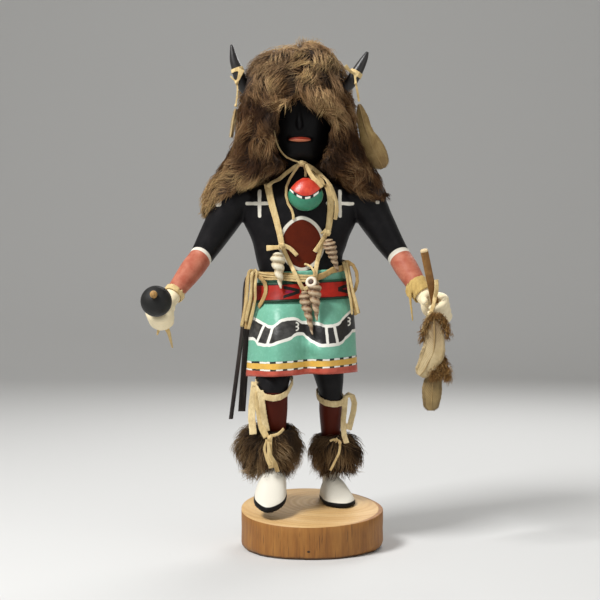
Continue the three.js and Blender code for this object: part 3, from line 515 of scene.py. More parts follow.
# Heights at which the red-brown of the shins and the white of the moccasins end.
SHIN_TOPS = {-1: 126, 1: 117}
SHOE_TOPS = {-1: 78, 1: 66}
SOLE = 3.6
WHITE = (224, 219, 205)
# Share of the length, half width and height of a moccasin.
MOCCASIN = [
    (0, 3, 5),
    (0.05, 7, 10),
    (0.2, 10, 18),
    (0.4, 11.4, 19),
    (0.6, 13, 12.5),
    (0.8, 11.6, 7.5),
    (0.94, 6.4, 5),
    (1, 1.2, 3.2),
]


def slab_top(x, y):
    """The slab's upper face, at a place in the doll's coordinates."""
    return SLAB["height"] + SLAB["slope_y"] * y + SLAB["slope_x"] * (x + FIGURE_X)


FEET = {
    -1: {"heel": (-19.5, 3.5, 56), "toe": (-25.4, -43, 33.4), "up": (0, -0.42, 0.9)},
    1: {
        "heel": (22.5, 35, slab_top(22.5, 35) + 0.4),
        "toe": (37.5, -4, slab_top(37.5, -4) + 0.4),
        "up": (0, -SLAB["slope_y"], 1),
    },
}


def blend(a, b, share):
    return np.asarray(a, float) * (1 - share) + np.asarray(b, float) * share


def forearm(side):
    """A forearm's elbow, its direction towards the wrist and its length."""
    elbow, wrist = np.array(ELBOWS[side], float), np.array(WRISTS[side], float)
    return elbow, unit(wrist - elbow), np.linalg.norm(wrist - elbow)


def arm(side):
    elbow, wrist, hand = ELBOWS[side], WRISTS[side], HANDS[side]
    return [
        (side * 40, AXIS_Y, 281, 11, 13),
        (side * 53, AXIS_Y, 276, 15, 16),
        (side * 62.5, AXIS_Y, 261, 13.4, 14),
        (side * 71.5, AXIS_Y, 246, 11.4, 12),
        (*elbow, 9.4, 9.8),
        (*blend(elbow, wrist, 0.35), 9.4, 9.6),
        (*wrist, 7, 7),
        (*blend(wrist, hand, 0.6), 6.6, 6.6),
    ]


def grip_axes(side):
    """A grip's centre and axis, and the directions from it to the wrist and out past the knuckles."""
    centre = np.array(HANDS[side], float)
    axis = unit(np.array(GRIPS[side]))
    to_wrist = np.array(WRISTS[side]) - centre
    to_wrist = unit(to_wrist - axis * (to_wrist @ axis))
    return centre, axis, to_wrist, np.cross(axis, to_wrist) * KNUCKLES[side]


def curled(at, radius, rise, half_rise, thick, start, sweep):
    """A finger bent round the grip, thinner at both ends."""
    sections = []
    for share in np.linspace(0, 1, 20):
        angle = start + sweep * share
        out = at(angle, 1, 0) - at(angle, 0, 0)
        axis = at(angle, 0, 1) - at(angle, 0, 0)
        near_end = max(0.0, abs(2 * share - 1) - 0.75)
        taper = math.sqrt(max(0.12, 1 - near_end**2 * 14))
        sections.append(ring(at(angle, radius, rise), out, axis, thick * taper, half_rise * taper, 14))
    return loft(sections)


def fist(side):
    """A palm, four fingers curled round the grip and a thumb, as overlapping lofts."""
    centre, axis, to_wrist, outward = grip_axes(side)
    radius, half_height = FIST["ring"], FIST["half_height"]

    def at(angle, radius, rise):
        turned = to_wrist * math.cos(angle) + outward * math.sin(angle)
        return centre + turned * radius + axis * rise

    palm = []
    for share in np.linspace(-1, 1, 11):
        spread = math.sqrt(1.04 - share * share)
        middle = at(0, radius - 1, share * half_height)
        deep, wide = FIST["palm_deep"] * spread, FIST["palm_wide"] * spread
        palm.append(ring(middle, to_wrist, outward, deep, wide, 20))
    shapes = [loft(palm)]
    for finger in range(4):
        rise = (1.5 - finger) * FIST["finger_pitch"] - 1
        sweep = FINGER_SWEEP[side] - 0.25 * abs(finger - 1.2)
        shapes.append(curled(at, radius, rise, FIST["finger_half"], FIST["finger"], FIST["start"], sweep))
    shapes.append(curled(at, **THUMB))
    return shapes


def moccasin(side):
    heel, toe, rise = (np.array(FEET[side][key], float) for key in ("heel", "toe", "up"))
    along = unit(toe - heel)
    rise = unit(rise - along * (rise @ along))
    across = np.cross(along, rise)
    sections = []
    for share, half_width, height in smooth_path(MOCCASIN, 43):
        flat = ring(np.zeros(3), SIDE, UP, max(half_width, 0.6), max(height, 1.5), 32, 2.4)
        middle = heel + along * share * np.linalg.norm(toe - heel)
        sections.append(middle + across * flat[:, :1] + rise * np.maximum(flat[:, 2:], 0))
    return loft(sections)


NOSE = [
    (0, -18.6, 351, 1.2, 3),
    (0, -20.4, 342, 1.8, 3.2),
    (0, -21.6, 336.5, 2.6, 3.2),
    (0, -19.6, 333, 1.6, 2.4),
]
# The white crosses on the chest, and the x, half height and radius of the mark on each shoulder.
CROSS = {"x": 32, "z": 275, "arm": 10, "radius": 1.4}
SHOULDER_MARKS = [(-65, 1.4, 2), (62, 0.2, 1.2)]
SHOULDER_Z = 276
BELLY = {"x": 1.6, "half_x": 18.5, "z": 243, "half_z": 22}


def face():
    """The mask's carved nose and lips."""
    upper, lower = [], []
    for x in np.linspace(-9.4, 9.4, 15):
        full = 1 - (x / 10) ** 2
        upper_at, lower_at = np.array([x, -18 - 3 * full, 325.8]), np.array([x, -18 - 3.4 * full, 324.1])
        upper.append(ring(upper_at, BACK, UP, 2.2 + full, 0.3 + 0.7 * full, 14))
        lower.append(ring(lower_at, BACK, UP, 2.2 + full, 0.3 + 0.8 * full, 14))
    return [loft(rings(NOSE, 16, 4)), loft(upper), loft(lower)]


def paint_legs(finish):
    """Red-brown shins, white moccasins and their dark soles."""
    z = finish.z
    for side, reach in ((-1, finish.x.below(2)), (1, finish.x.above(2))):
        foot = FEET[side]
        finish.layer(z.below(SHIN_TOPS[side]) & reach, (74, 20, 4))
        finish.layer(z.below(SHOE_TOPS[side]) & reach, WHITE)
        over = finish.along(foot["heel"], unit(np.array(foot["up"], float)))
        finish.layer(over.below(SOLE) & reach & z.below(60), (20, 18, 18))


def paint_arms(finish):
    """A white band under each elbow, a terracotta forearm and a cream hand."""
    x, z = finish.x, finish.z
    for side in (-1, 1):
        elbow, onward, reach = forearm(side)
        down = finish.along(elbow, onward)
        here = (x * side).above(62) & z.below(262) & z.above(150)
        finish.layer(down.above(-0.6) & here, WHITE)
        finish.layer(down.above(reach - 4) & here, (238, 223, 188))
        skin = down.between(BAND_ENDS[side], CUFF_TOPS[side] + 2) & here
        finish.layer(skin, (168, 92, 72))
        finish.clouds((194, 126, 102), 7, 0.7, within=skin)


def paint_chest(finish, wear):
    """Two crosses, the shoulder marks and the belly's pointed oval, on the front alone."""
    x, z = finish.x, finish.z
    front = finish.y.below(AXIS_Y)
    wobble = finish.noise(5, 2) * 1.2

    def bar(cx, cz, half_x, half_z, radius):
        far_x = (abs(x - cx) - half_x).maths("MAXIMUM", 0.0)
        far_z = (abs(z - cz) - half_z).maths("MAXIMUM", 0.0)
        return (length_of(far_x, far_z) + wobble).below(radius + 0.6)

    arm, radius = CROSS["arm"], CROSS["radius"]
    for cx in (-CROSS["x"], CROSS["x"]):
        flat, upright = bar(cx, CROSS["z"], arm, 0, radius), bar(cx, CROSS["z"], 0, arm, radius)
        finish.layer((flat | upright) & front, WHITE)
    for cx, half_z, radius in SHOULDER_MARKS:
        finish.layer(bar(cx, SHOULDER_Z, 0.4, half_z, radius) & front, WHITE)
    across, high = abs(x - BELLY["x"]) / BELLY["half_x"], abs(z - BELLY["z"]) / BELLY["half_z"]
    oval = (across**1.7 + high**2) ** 0.55 + wobble * 0.01
    torso = abs(x).below(44) & front & z.below(280)
    inner = oval.below(0.86, 0.02) & torso
    finish.layer(oval.below(1.0, 0.02) & torso, WHITE)
    finish.layer(inner, (92, 29, 6))
    finish.layer(inner & wear.above(0.5, 0.4) * 0.5, (70, 19, 5))


def paint_lips(finish):
    """A dark upper lip and a light lower one."""
    mouth = (abs(finish.x) / 8.8) ** 2 + (abs(finish.z - 324.8) / 1.8) ** 2
    lips = mouth.below(1.0, 0.1) & finish.y.below(-14)
    finish.layer(lips, (128, 44, 28))
    finish.layer(lips & finish.z.below(324.5), (204, 126, 94))


def figure_paint():
    """Matte black, with white, terracotta and red-brown areas."""
    finish = Finish("painted_figure", (17, 16, 18), 0.55, specular=0.14)
    wear = finish.noise(9, 5)
    finish.layer(wear.above(0.62, 0.3) * 0.35, (44, 41, 42))
    # The head above z 308 is darker again: painted shade under the fur hood.
    finish.layer(finish.z.above(308, 6), (9, 8, 9))
    paint_legs(finish)
    paint_arms(finish)
    paint_chest(finish, wear)
    paint_lips(finish)
    finish.bumps((1.6, 4, 0.12), (14, 2, 0.5))
    roughness = finish.noise(12, 4) * 0.22 + 0.36
    finish.tree.links.new(roughness.socket, finish.shader.inputs["Roughness"])
    return finish.done()


def make_figure():
    shapes = [loft(rings(TORSO, 64, power=2.35)), loft(rings(HEAD, 56, power=2.15)), *face()]
    for side, leg in ((-1, RIGHT_LEG), (1, LEFT_LEG)):
        shapes += [loft(rings(arm(side), 40)), loft(rings(leg, 40)), moccasin(side), *fist(side)]
    doll = remeshed(make("doll_carving", joined(*shapes)), voxel=1.0, rounds=4, keep=0.36)
    doll.data.materials.append(figure_paint())
    place(doll, "painted_figure", "figure")
    return doll


# ---- Horns ----
HORNS = {
    "right": [
        (-24, 7, 359, 4.6),
        (-36, 6, 362.5, 4.7),
        (-44.5, 5, 368.5, 4.6),
        (-48, 4, 376, 4.8),
        (-50.4, 4, 383.5, 4.3),
        (-52.9, 4, 391, 3.3),
        (-54.7, 4, 402.5, 1.1),
    ],
    "left": [
        (22, 7, 360, 4.6),
        (32, 6, 365, 4.7),
        (40, 5, 371.5, 4.6),
        (43.5, 4, 376.8, 4.8),
        (47.3, 4, 383.2, 4.2),
        (51.6, 4, 391, 2.9),
        (54.3, 4, 396.7, 1.2),
    ],
}


def make_horns():
    finish = Finish("horn_paint", (27, 25, 25), 0.4)
    finish.clouds((62, 56, 52), 4, 0.5, limit=0.6, tall=3)
    finish.bumps((1.5, 3, 0.15, 3))
    material = finish.done()
    for side, stations in HORNS.items():
        horn = make(f"horn_{side}_carved", loft(rings(stations, 24)), material)
        place(horn, "horn_paint", f"horn_{side}")


# ---- The kilt and the belt ----
KILT = [
    (2.5, 8, 221.5, 36.2, 20.6),
    (2.5, 8, 208, 37, 22),
    (2.5, 8, 193, 40.4, 27),
    (2, 6, 176, 42.6, 32),
    (1.8, 4, 158, 43.6, 34),
    (1.6, 3, 138.5, 45, 35),
]
KILT_LEAN = 0.05
THIGH_LIFT = 6.5
VALLEY = 8.0
FOLD = 3.2
LEATHER = 1.2
BELT_CLEARANCE = 0.7
BELT_REACH = (0.12, 0.34)  # where the belt lies, as shares of the kilt's height
KILT_HEM = 138.5


def kilt_rings(grow, first=0.0, last=1.0):
    """Outlines of the kilt, pushed out by the thighs, with a valley and a fold between them."""
    sections = rings(KILT, 120, 9, grow, power=2.3, first=first, last=last)
    low = np.linspace(first, last, len(sections))[:, None]
    x, y, z = sections[..., 0], sections[..., 1], sections[..., 2]
    front = np.maximum(0, -(y - AXIS_Y) / 30)
    thighs = THIGH_LIFT * (bell((x + 19) / 12) + 0.5 * bell((x - 24) / 12))
    dip = VALLEY * bell((x - 2 - 5 * low) / 7)
    fold = FOLD * bell((z - 162 + 0.5 * (x - 8)) / 4.5) * bell((x - 11) / 12)
    ripple = 0.6 * np.sin(x / 4.6 + 4 * low) * low**2
    swell = np.sin(np.minimum(1.6 * low, 1) * math.pi / 2)
    sections[..., 1] += front * (low * (dip + ripple) - thighs * swell - fold)
    sections[..., 2] += KILT_LEAN * (x - 2)
    return sections


def band(outer, inner, name, outside, inside):
    """A closed band of leather, with its own material on the inner face."""
    obj = make(name, loft(np.concatenate([outer, inner[::-1]]), loop=True), outside)
    obj.data.materials.append(inside)
    sides = outer.shape[1]
    first = len(outer) * sides
    inner_faces = [first <= min(face.vertices) for face in obj.data.polygons]
    obj.data.polygons.foreach_set("material_index", [int(flag) for flag in inner_faces])
    return obj


# The painted wave's upper and lower edges on the front of the kilt, as (x, height over the hem).
WAVE_TOP = [
    (-42, 49), (-36, 46.5), (-27, 42), (-22.7, 40.4), (-18, 42.6), (-11.7, 45.6), (-5, 45.8), (2, 42.6),
    (14.8, 40.8), (22.7, 38.6), (29, 39.4), (34, 43.5), (42, 50),
]
WAVE_LOW = [
    (-42, 29), (-37.5, 31), (-33, 27), (-25, 26.2), (-17.2, 28.2), (-7, 30.8), (0, 33.8), (5, 30.8),
    (11, 26.8), (20.3, 23.8), (29, 24), (36, 28), (42, 33),
]
# White bars across the wave, from one (x, height) to another, and the middles of the white claws in it.
WAVE_BARS = [
    ((-28.1, 42), (-33.6, 29)),
    ((-20.6, 42), (-25, 28)),
    ((20.8, 38), (21.9, 25.5)),
    ((27.3, 38), (29.7, 25.5)),
]
CLAWS = [(-2.6, 39.6), (38.6, 41.0)]
# Heights of the two dashed lines over the hem.
DASHED = [(6.0, 7.4), (11.8, 13.4)]
KILT_WHITE, KILT_BLACK = (232, 230, 220), (24, 22, 22)


def paint_wave(finish, up, edge, wobble):
    """A white-edged black wave all round, with bars and claws on the front alone."""
    x = finish.x
    top, low = x.curve(WAVE_TOP), x.curve(WAVE_LOW)
    inside = (edge - top).below(0) & (edge - low).above(0)
    line = abs(edge - top).below(1.25) | abs(edge - low).below(1.25)
    on_front = inside & finish.y.below(AXIS_Y)
    finish.layer(inside, KILT_BLACK)
    # Grey patches on the left of the black wave: partly scuffed paint, partly painted glare on the side
    # towards the light.
    worn = inside & x.below(-4, 16)
    finish.clouds((96, 94, 90), 8, 0.5, within=worn, detail=5, limit=0.48, tall=0.6)
    for (x1, up1), (x2, up2) in WAVE_BARS:
        run = x - x1 - (up - up1) * ((x2 - x1) / (up2 - up1)) + wobble
        finish.layer(abs(run).below(1.1) & on_front, KILT_WHITE)
    for cx, cz in CLAWS:
        for part in (-1.45, 1.45):
            claw = length_of(x - cx, edge - cz - part)
            finish.layer(abs(claw - 1.5).below(0.55) & (x - cx).above(-0.5) & on_front, KILT_WHITE)
    finish.layer(line, KILT_WHITE)


def paint_border(finish, edge):
    """A yellow band between two dashed lines, over a red hem."""
    dash = (finish.x * 0.9 + finish.y * 0.25).sine(8.5).above(-0.25, 0.2)
    for low, high in DASHED:
        stripe = edge.between(low, high)
        finish.layer(stripe, KILT_BLACK)
        finish.layer(stripe & dash & edge.between(low + 0.1, high - 0.1), KILT_WHITE)
    hem, yellow = edge.below(DASHED[0][0]), edge.between(DASHED[0][1], DASHED[1][0])
    finish.layer(yellow, (222, 176, 78))
    finish.clouds((200, 152, 66), 7, 0.5, within=yellow, detail=3)
    finish.layer(hem, (170, 64, 46))
    finish.clouds((200, 98, 76), 9, 0.6, within=hem, detail=3)


def kilt_paint():
    finish = Finish("kilt_paint", (112, 176, 150), 0.42, specular=0.45)
    up = finish.z - finish.x * KILT_LEAN - (KILT_HEM - 2 * KILT_LEAN)
    wobble = finish.noise(4, 3) - 0.5
    edge = up + wobble * 1.1
    finish.clouds((96, 160, 136), 18, 0.5)
    finish.clouds((138, 202, 180), 2.2, 0.25, limit=0.6, blur=0.2)
    paint_wave(finish, up, edge, wobble)
    paint_border(finish, edge)
    finish.bumps((1.1, 4, 0.1), (9, 3, 0.9))
    return finish.done()


BELT_MIDDLE = 205.5
BELT_HALF = 7.9


def belt_paint():
    """Red with dark green borders and bold black arrow strokes."""
    finish = Finish("belt_paint", (158, 30, 16), 0.5, specular=0.2)
    up = finish.z - (finish.x - 2) * KILT_LEAN - BELT_MIDDLE
    off = abs(up + finish.noise(3, 3) - 0.5)
    finish.clouds((122, 22, 12), 6, 0.6)
    black, front = (24, 20, 18), finish.y.below(0)
    for tip, turn in ((-0.5, -1), (31, 1)):
        away = (finish.x - tip) * turn
        stroke = abs(off - away * 0.27 - 0.5)
        finish.layer(off.below(1.1) & away.between(5, 11) & front, (128, 20, 54))
        finish.layer(stroke.below(1.3) & away.between(-0.6, 12.5) & front, black)
    finish.layer(off.above(BELT_HALF - 1.7), (30, 62, 44))
    finish.layer(abs(off - (BELT_HALF - 1.9)).below(0.35), black)
    finish.bumps((1.2, 4, 0.1), (8, 3, 0.5))
    return finish.done()


def make_kilt_and_belt():
    lining = Finish("leather_lining", (172, 140, 96), 0.85)
    lining.clouds((140, 108, 70), 5, 0.5)
    lining.bumps((1.0, 4, 0.15))
    inside = lining.done()
    kilt = band(kilt_rings(0), kilt_rings(-LEATHER), "painted_kilt", kilt_paint(), inside)
    place(kilt, "kilt_leather", "kilt")
    outer = kilt_rings(BELT_CLEARANCE + LEATHER, *BELT_REACH)
    inner = kilt_rings(BELT_CLEARANCE, *BELT_REACH)
    belt = band(outer, inner, "painted_belt", belt_paint(), inside)
    place(belt, "belt_leather", "belt")


# ---- Buckskin ----
def buckskin(name, light, dark):
    finish = Finish(name, light, 0.85, sheen=0.15, specular=0.25)
    finish.clouds(dark, 4, 0.7, detail=5, blur=0.35, tall=2.5)
    finish.clouds([value * 0.78 for value in dark], 1.6, 0.35, limit=0.6, blur=0.25, tall=2)
    finish.bumps((1.0, 4, 0.3), (3.2, 3, 0.5))
    return finish.done()


# The skin and the remeshing cell of each lace.
LACES = {
    "waist_thong": ("shaded", 0.55),
    "necklace_thong": ("pale", 0.5),
    "chin_tie": ("pale", 0.42),
    "horn_tie_right": ("pale", 0.42),
    "horn_tie_left": ("pale", 0.42),
    "rattle_tie": ("pale", 0.42),
    "stick_tie": ("pale", 0.45),
    "garter_right": ("worn", 0.55),
    "garter_left": ("worn", 0.55),
    "anklet_tie_right": ("pale", 0.42),
    "anklet_tie_left": ("pale", 0.42),
    "cuff_right": ("pale", 0.55),
    "cuff_left": ("golden", 0.55),
}
LACE_KEEP = 0.4
LACE_ROUNDS = 3
CUFF_ROUNDS = 8
# Ties that are finer than their CAD solids, and by how much on each side.
FINE_TIES = ["horn_tie_right", "horn_tie_left", "anklet_tie_left", "rattle_tie"]
FINER = 0.3
CUFFS = {"cuff_right": -1, "cuff_left": 1}


def shorten_cuff(cuff, side):
    """Cuts off what the cuff's solid has above the top that the photograph shows."""
    elbow, onward, _ = forearm(side)
    cut_off(cuff, (elbow + onward * CUFF_TOPS[side] + ORIGIN) * MM, onward)


def make_laces():
    skins = {
        "pale": buckskin("buckskin_pale", (226, 202, 148), (190, 156, 100)),
        "worn": buckskin("buckskin_worn", (226, 206, 158), (188, 160, 112)),
        "shaded": buckskin("buckskin_shaded", (188, 158, 104), (146, 112, 64)),
        "golden": buckskin("buckskin_golden", (204, 174, 106), (174, 142, 80)),
    }
    for node, (skin, voxel) in LACES.items():
        lace = copy_of(node, f"{node}_skin")
        if node in CUFFS:
            shorten_cuff(lace, CUFFS[node])
        rounds = CUFF_ROUNDS if node in CUFFS else LACE_ROUNDS
        lace = remeshed(lace, voxel, rounds, LACE_KEEP)
        if node in FINE_TIES:
            sink(lace, FINER)
        lace.data.materials.append(skins[skin])
        place(lace, "buckskin", node)


# Thin strands beside the CAD laces: points (x, y, z), and the widths at both ends.
STRANDS = {
    "chin_strap": (
        [(5, -15.6, 305.4), (8.4, -19, 298), (12.4, -21.4, 292), (16.8, -22.4, 286.4)],
        (2.4, 6.0),
    ),
    "waist_strand_1": (
        [(-36, -5, 221.6), (-40.4, -8.4, 220.4), (-41.4, -9, 209),
         (-42.2, -9, 199), (-43.8, -9, 187), (-46.6, -9, 177)],
        (2.2, 2.6),
    ),
    "waist_strand_2": (
        [(-35.6, -6, 221.8), (-38.2, -10.6, 218.6), (-38.4, -11.2, 209),
         (-39.2, -11.2, 199), (-41.6, -11, 188), (-42.8, -10.8, 181)],
        (2.0, 2.4),
    ),
    "waist_strand_3": (
        [(-34.6, -7, 220), (-35.4, -11.4, 209), (-35.4, -11.6, 199),
         (-37.4, -11.6, 189), (-39.4, -11.4, 180.6), (-40.8, -11.2, 175)],
        (2.0, 2.8),
    ),
    "waist_strand_4": (
        [(34.6, -6, 228.8), (37.2, -10, 219), (38.8, -11.2, 207), (40.8, -11.4, 196), (41.6, -11.2, 186.6)],
        (2.2, 1.8),
    ),
    "waist_strand_5": (
        [(37, -5, 228), (39.6, -10, 216), (42.6, -11, 204), (45, -11, 195), (46.6, -10.8, 187.4)],
        (2.2, 2.4),
    ),
    "garter_tongue": ([(-33.4, -24, 127), (-33, -25.4, 114), (-30, -28, 100), (-26, -30, 91)], (3.6, 5.6)),
}


def strap(route, first, last, thick=1.1):
    """A flat strip of hide along a route, facing forward, with slightly uneven edges."""
    count = 28
    path = smooth_path(route, count)
    along = unit(np.gradient(path, axis=0))
    across = unit(np.cross(along, BACK))
    facing = np.cross(along, across)
    half = np.linspace(first, last, count) / 2
    half = half * (1 + 0.1 * np.sin(np.linspace(0, 11, count)))
    return loft(ring(path, across, facing, half, np.full(count, thick / 2), 16, 3.5))


# The waist thong's strands, side by side: (x, z) along its front, and heights over its middle.
THONG_FRONT = [(-34, 218.2), (-26, 217.0), (-16, 216.4), (-6, 215.8), (4, 215.4), (13, 216)]
THONG_STRANDS = [1.8, 0.0, -1.8]
TIE_CLEARANCE = 1.6  # from a strand's middle to the fur behind it
# Strands that hang over an anklet's fur: (x, z) and the widths at both ends.
TIE_STRANDS = {
    "anklet_right_strand_1": ([(-26, 88), (-27.6, 82), (-25.6, 75), (-23, 69)], (1.8, 3.0)),
    "anklet_right_strand_2": ([(-24.6, 88), (-23, 79), (-19.6, 71), (-17.4, 63.5)], (1.8, 4.0)),
}
# Knots: (x, z), how big their wraps are and how they lean.
KNOTS = [
    (-14.8, 240.3, 2.3, 0.3),
    (19.6, 251.4, 2.5, -0.4),
    (2.8, 305.4, 1.8, 0.2),
    (-35.4, 219.2, 2.8, -0.2),
    (-25.6, 87.5, 1.7, 0.3),
    (29.6, 84.5, 1.6, -0.3),
]
# What the knots and the strands lie on.
UNDER_KNOTS = ["figure", "kilt", "waist_thong", "necklace_thong", "chin_tie"]
UNDER_KNOTS += ["anklet_right", "anklet_left", "anklet_tie_right", "anklet_tie_left"]


def depth_at(tree, x, z):
    """How deep the first surface lies behind a place, seen from the front, in millimetres."""
    start = Vector(((x + FIGURE_X) * MM, -0.2, z * MM))
    spot = tree.ray_cast(start, Vector((0, 1, 0)))[0]
    return spot.y / MM


def wraps(centre, size, lean):
    """Three flat turns of hide round a lace, each at its own slant."""
    shapes = []
    for turn, slant in enumerate((lean - 0.5, lean + 0.1, lean + 0.75)):
        axis = np.array([math.cos(slant), 0.0, math.sin(slant)])
        across = np.cross(axis, BACK)
        middle = centre + axis * (turn - 1) * size * 0.6
        radius = size * (0.85 + 0.1 * turn)
        sections = []
        for angle in np.linspace(0, 2 * math.pi, 25)[:-1]:
            out = across * math.cos(angle) + BACK * math.sin(angle) * 0.75
            sections.append(ring(middle + out * radius, axis, unit(out), size * 0.32, 0.6, 10, 2.4))
        shapes.append(loft(sections, loop=True))
    return joined(*shapes)


def make_strands():
    skin = buckskin("buckskin_strand", (212, 188, 136), (172, 142, 90))
    for name, (route, widths) in STRANDS.items():
        place(make(name, strap(route, *widths), skin), "buckskin")
    under = cad_tree(*UNDER_KNOTS)
    for name, (route, widths) in TIE_STRANDS.items():
        laid = [(x, depth_at(under, x, z) - TIE_CLEARANCE, z) for x, z in route]
        place(make(name, strap(laid, *widths), skin), "buckskin")
    for index, rise in enumerate(THONG_STRANDS):
        wander = [rise * (1 + 0.2 * math.sin(x + 9 * rise)) for x, _ in THONG_FRONT]
        route = [(x, depth_at(under, x, z), z + high) for (x, z), high in zip(THONG_FRONT, wander)]
        strand = strap(route, first=1.5, last=1.7, thick=1.7)
        place(make(f"waist_thong_strand_{index + 1}", strand, skin), "buckskin")
    for index, (x, z, size, lean) in enumerate(KNOTS):
        middle = np.array([x, depth_at(under, x, z) + 0.45 * size, z])
        place(make(f"knot_{index + 1}", wraps(middle, size, lean), skin), "buckskin")


# ---- Fur ----
LEVELS = 4  # points along each hair
SHARES = np.linspace(0, 1, LEVELS)
HIDING = 16.0  # a hair is taken away if it hangs less than this in front of a lace


def surface_points(obj, count, random):
    """Random points on an object's mesh, evenly by area, with their normals, in millimetres."""
    mesh = obj.data
    mesh.calc_loop_triangles()
    corners = np.empty(len(mesh.loop_triangles) * 3, np.int32)
    mesh.loop_triangles.foreach_get("vertices", corners)
    a, b, c = vertex_spots(mesh)[corners.reshape(-1, 3)].transpose(1, 0, 2)
    cross = np.cross(b - a, c - a)
    area = np.linalg.norm(cross, axis=1)
    chosen = random.choice(len(area), count, p=area / area.sum())
    u, v = random.random((2, count, 1))
    over = u + v > 1
    u, v = np.where(over, 1 - u, u), np.where(over, 1 - v, v)
    points = a[chosen] + (b - a)[chosen] * u + (c - a)[chosen] * v
    return points - ORIGIN, unit(cross[chosen])


def nearest(points, targets):
    """The index of the nearest target to each point."""
    batch = 4000
    found = np.empty(len(points), int)
    for start in range(0, len(points), batch):
        part = points[start : start + batch]
        found[start : start + batch] = ((part[:, None] - targets[None]) ** 2).sum(-1).argmin(1)
    return found


def cad_tree(*nodes):
    """The surfaces of CAD nodes, to measure from, in metres."""
    points, faces = [], []
    for node in nodes:
        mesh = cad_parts[node].data
        start = len(points)
        points += [v.co.copy() for v in mesh.vertices]
        faces += [[start + index for index in face.vertices] for face in mesh.polygons]
    return BVHTree.FromPolygons(points, faces)


def distance_out(points, tree):
    """How far points lie outside a solid, in millimetres, and less than zero inside it."""
    out = np.empty(len(points))
    for i, point in enumerate((points + ORIGIN) * MM):
        spot, normal, _, distance = tree.find_nearest(Vector(point))
        out[i] = math.copysign(distance / MM, (Vector(point) - spot).dot(normal))
    return out


def in_front(paths, tree):
    """Which paths have a point in front of a lace, near enough to hide it."""
    hidden = np.zeros(len(paths), bool)
    forward = Vector((0, 1, 0))
    for level in range(1, LEVELS):
        for i, point in enumerate((paths[:, level] + ORIGIN) * MM):
            if not hidden[i]:
                hidden[i] = tree.ray_cast(Vector(point), forward, HIDING * MM)[0] is not None
    return hidden


def hair_mesh(name, paths, widths, shades, material):
    """Closed three-sided hairs along paths (hair, level, 3), each ending in a point."""
    hairs = len(paths)
    along = unit(np.gradient(paths, axis=1))
    u = unit(np.cross(along, [0.31, 0.87, 0.38]))
    v = np.cross(along, u)
    turns = np.arange(3) / 3 * 2 * math.pi
    around = u[:, :, None] * np.cos(turns)[:, None] + v[:, :, None] * np.sin(turns)[:, None]
    tubes = paths[:, :-1, None] + around[:, :-1] * widths[:, :-1, None, None] / 2
    points = np.concatenate([tubes.reshape(hairs, -1, 3), paths[:, -1:]], axis=1)
    shade = np.concatenate([np.repeat(shades[:, :-1], 3, axis=1), shades[:, -1:]], axis=1)
    faces = [(2, 1, 0)]
    for level in range(LEVELS - 2):
        for k in range(3):
            a, b = 3 * level + k, 3 * level + (k + 1) % 3
            faces += [(a, b, b + 3), (a, b + 3, a + 3)]
    tip = 3 * (LEVELS - 1)
    faces += [(tip - 3 + k, tip - 3 + (k + 1) % 3, tip) for k in range(3)]
    triangles = (np.array(faces)[None] + np.arange(hairs)[:, None, None] * (tip + 1)).reshape(-1, 3)
    mesh = bpy.data.meshes.new(name)
    mesh.vertices.add(hairs * (tip + 1))
    mesh.vertices.foreach_set("co", ((points.reshape(-1, 3) + ORIGIN) * MM).ravel())
    mesh.loops.add(triangles.size)
    mesh.loops.foreach_set("vertex_index", triangles.ravel().astype(np.int32))
    mesh.polygons.add(len(triangles))
    mesh.polygons.foreach_set("loop_start", np.arange(0, triangles.size, 3, dtype=np.int32))
    mesh.polygons.foreach_set("use_smooth", np.ones(len(triangles), bool))
    mesh.update(calc_edges=True)
    set_values(mesh, "shade", shade)
    mesh.materials.append(material)
    return new_object(name, mesh)


def ramp(values, width):
    """0 below 0, 1 above the width, and straight between."""
    return np.clip(values / width, 0, 1)


def lumps(points, size, seed):
    """Smooth noise from about 0 to 1 at points, as a sum of random waves about size millimetres long."""
    random = np.random.default_rng(seed)
    total = np.zeros(len(points))
    for _ in range(9):
        wave = unit(random.normal(size=3)) * 2 * math.pi / (size * random.uniform(0.8, 1.9))
        total += np.sin(points @ wave + random.uniform(0, 2 * math.pi))
    return 0.5 + total / 9 * 1.1


def swirl(points, size, seed):
    """A direction at each point that wanders smoothly."""
    return np.stack([lumps(points, size, seed + axis) - 0.5 for axis in range(3)], axis=1) * 2


def combed(roots, normals, flow, lengths, locks, fur, random):
    """Hair paths that follow the flow, gathered into locks that each bend their own way."""
    tangent = unit(flow - normals * (flow * normals).sum(1)[:, None])
    side = np.cross(normals, tangent)
    leaders = random.choice(len(roots), locks, replace=False)
    lock = nearest(roots, roots[leaders])
    leader = leaders[lock]
    sway = random.normal(0, 0.32, locks)[lock][:, None]
    bend = random.normal(0, fur["curl"], locks)[lock][:, None]
    rise = fur["lift"] * random.uniform(0.4, 1.6, locks)[lock][:, None]
    rise = rise * random.uniform(0.7, 1.3, (len(roots), 1))
    spot, paths = roots, [roots]
    for share in SHARES[1:]:
        turn = sway + bend * share
        droop = UP * -0.3 * share
        jitter = random.normal(0, 0.2, roots.shape)
        heading = unit(tangent + side * turn + normals * rise * (1.1 - 1.3 * share) + droop + jitter)
        spot = spot + heading * (lengths / (LEVELS - 1))[:, None]
        paths.append(spot)
    paths = np.stack(paths, axis=1)
    share = SHARES[None, :, None]
    followed = paths[leader] + (roots - roots[leader])[:, None] * (1 - 0.8 * share)
    pull = fur["clump"] * share * random.uniform(0.4, 1.0, (len(roots), 1, 1))
    return paths * (1 - pull) + followed * pull, lock


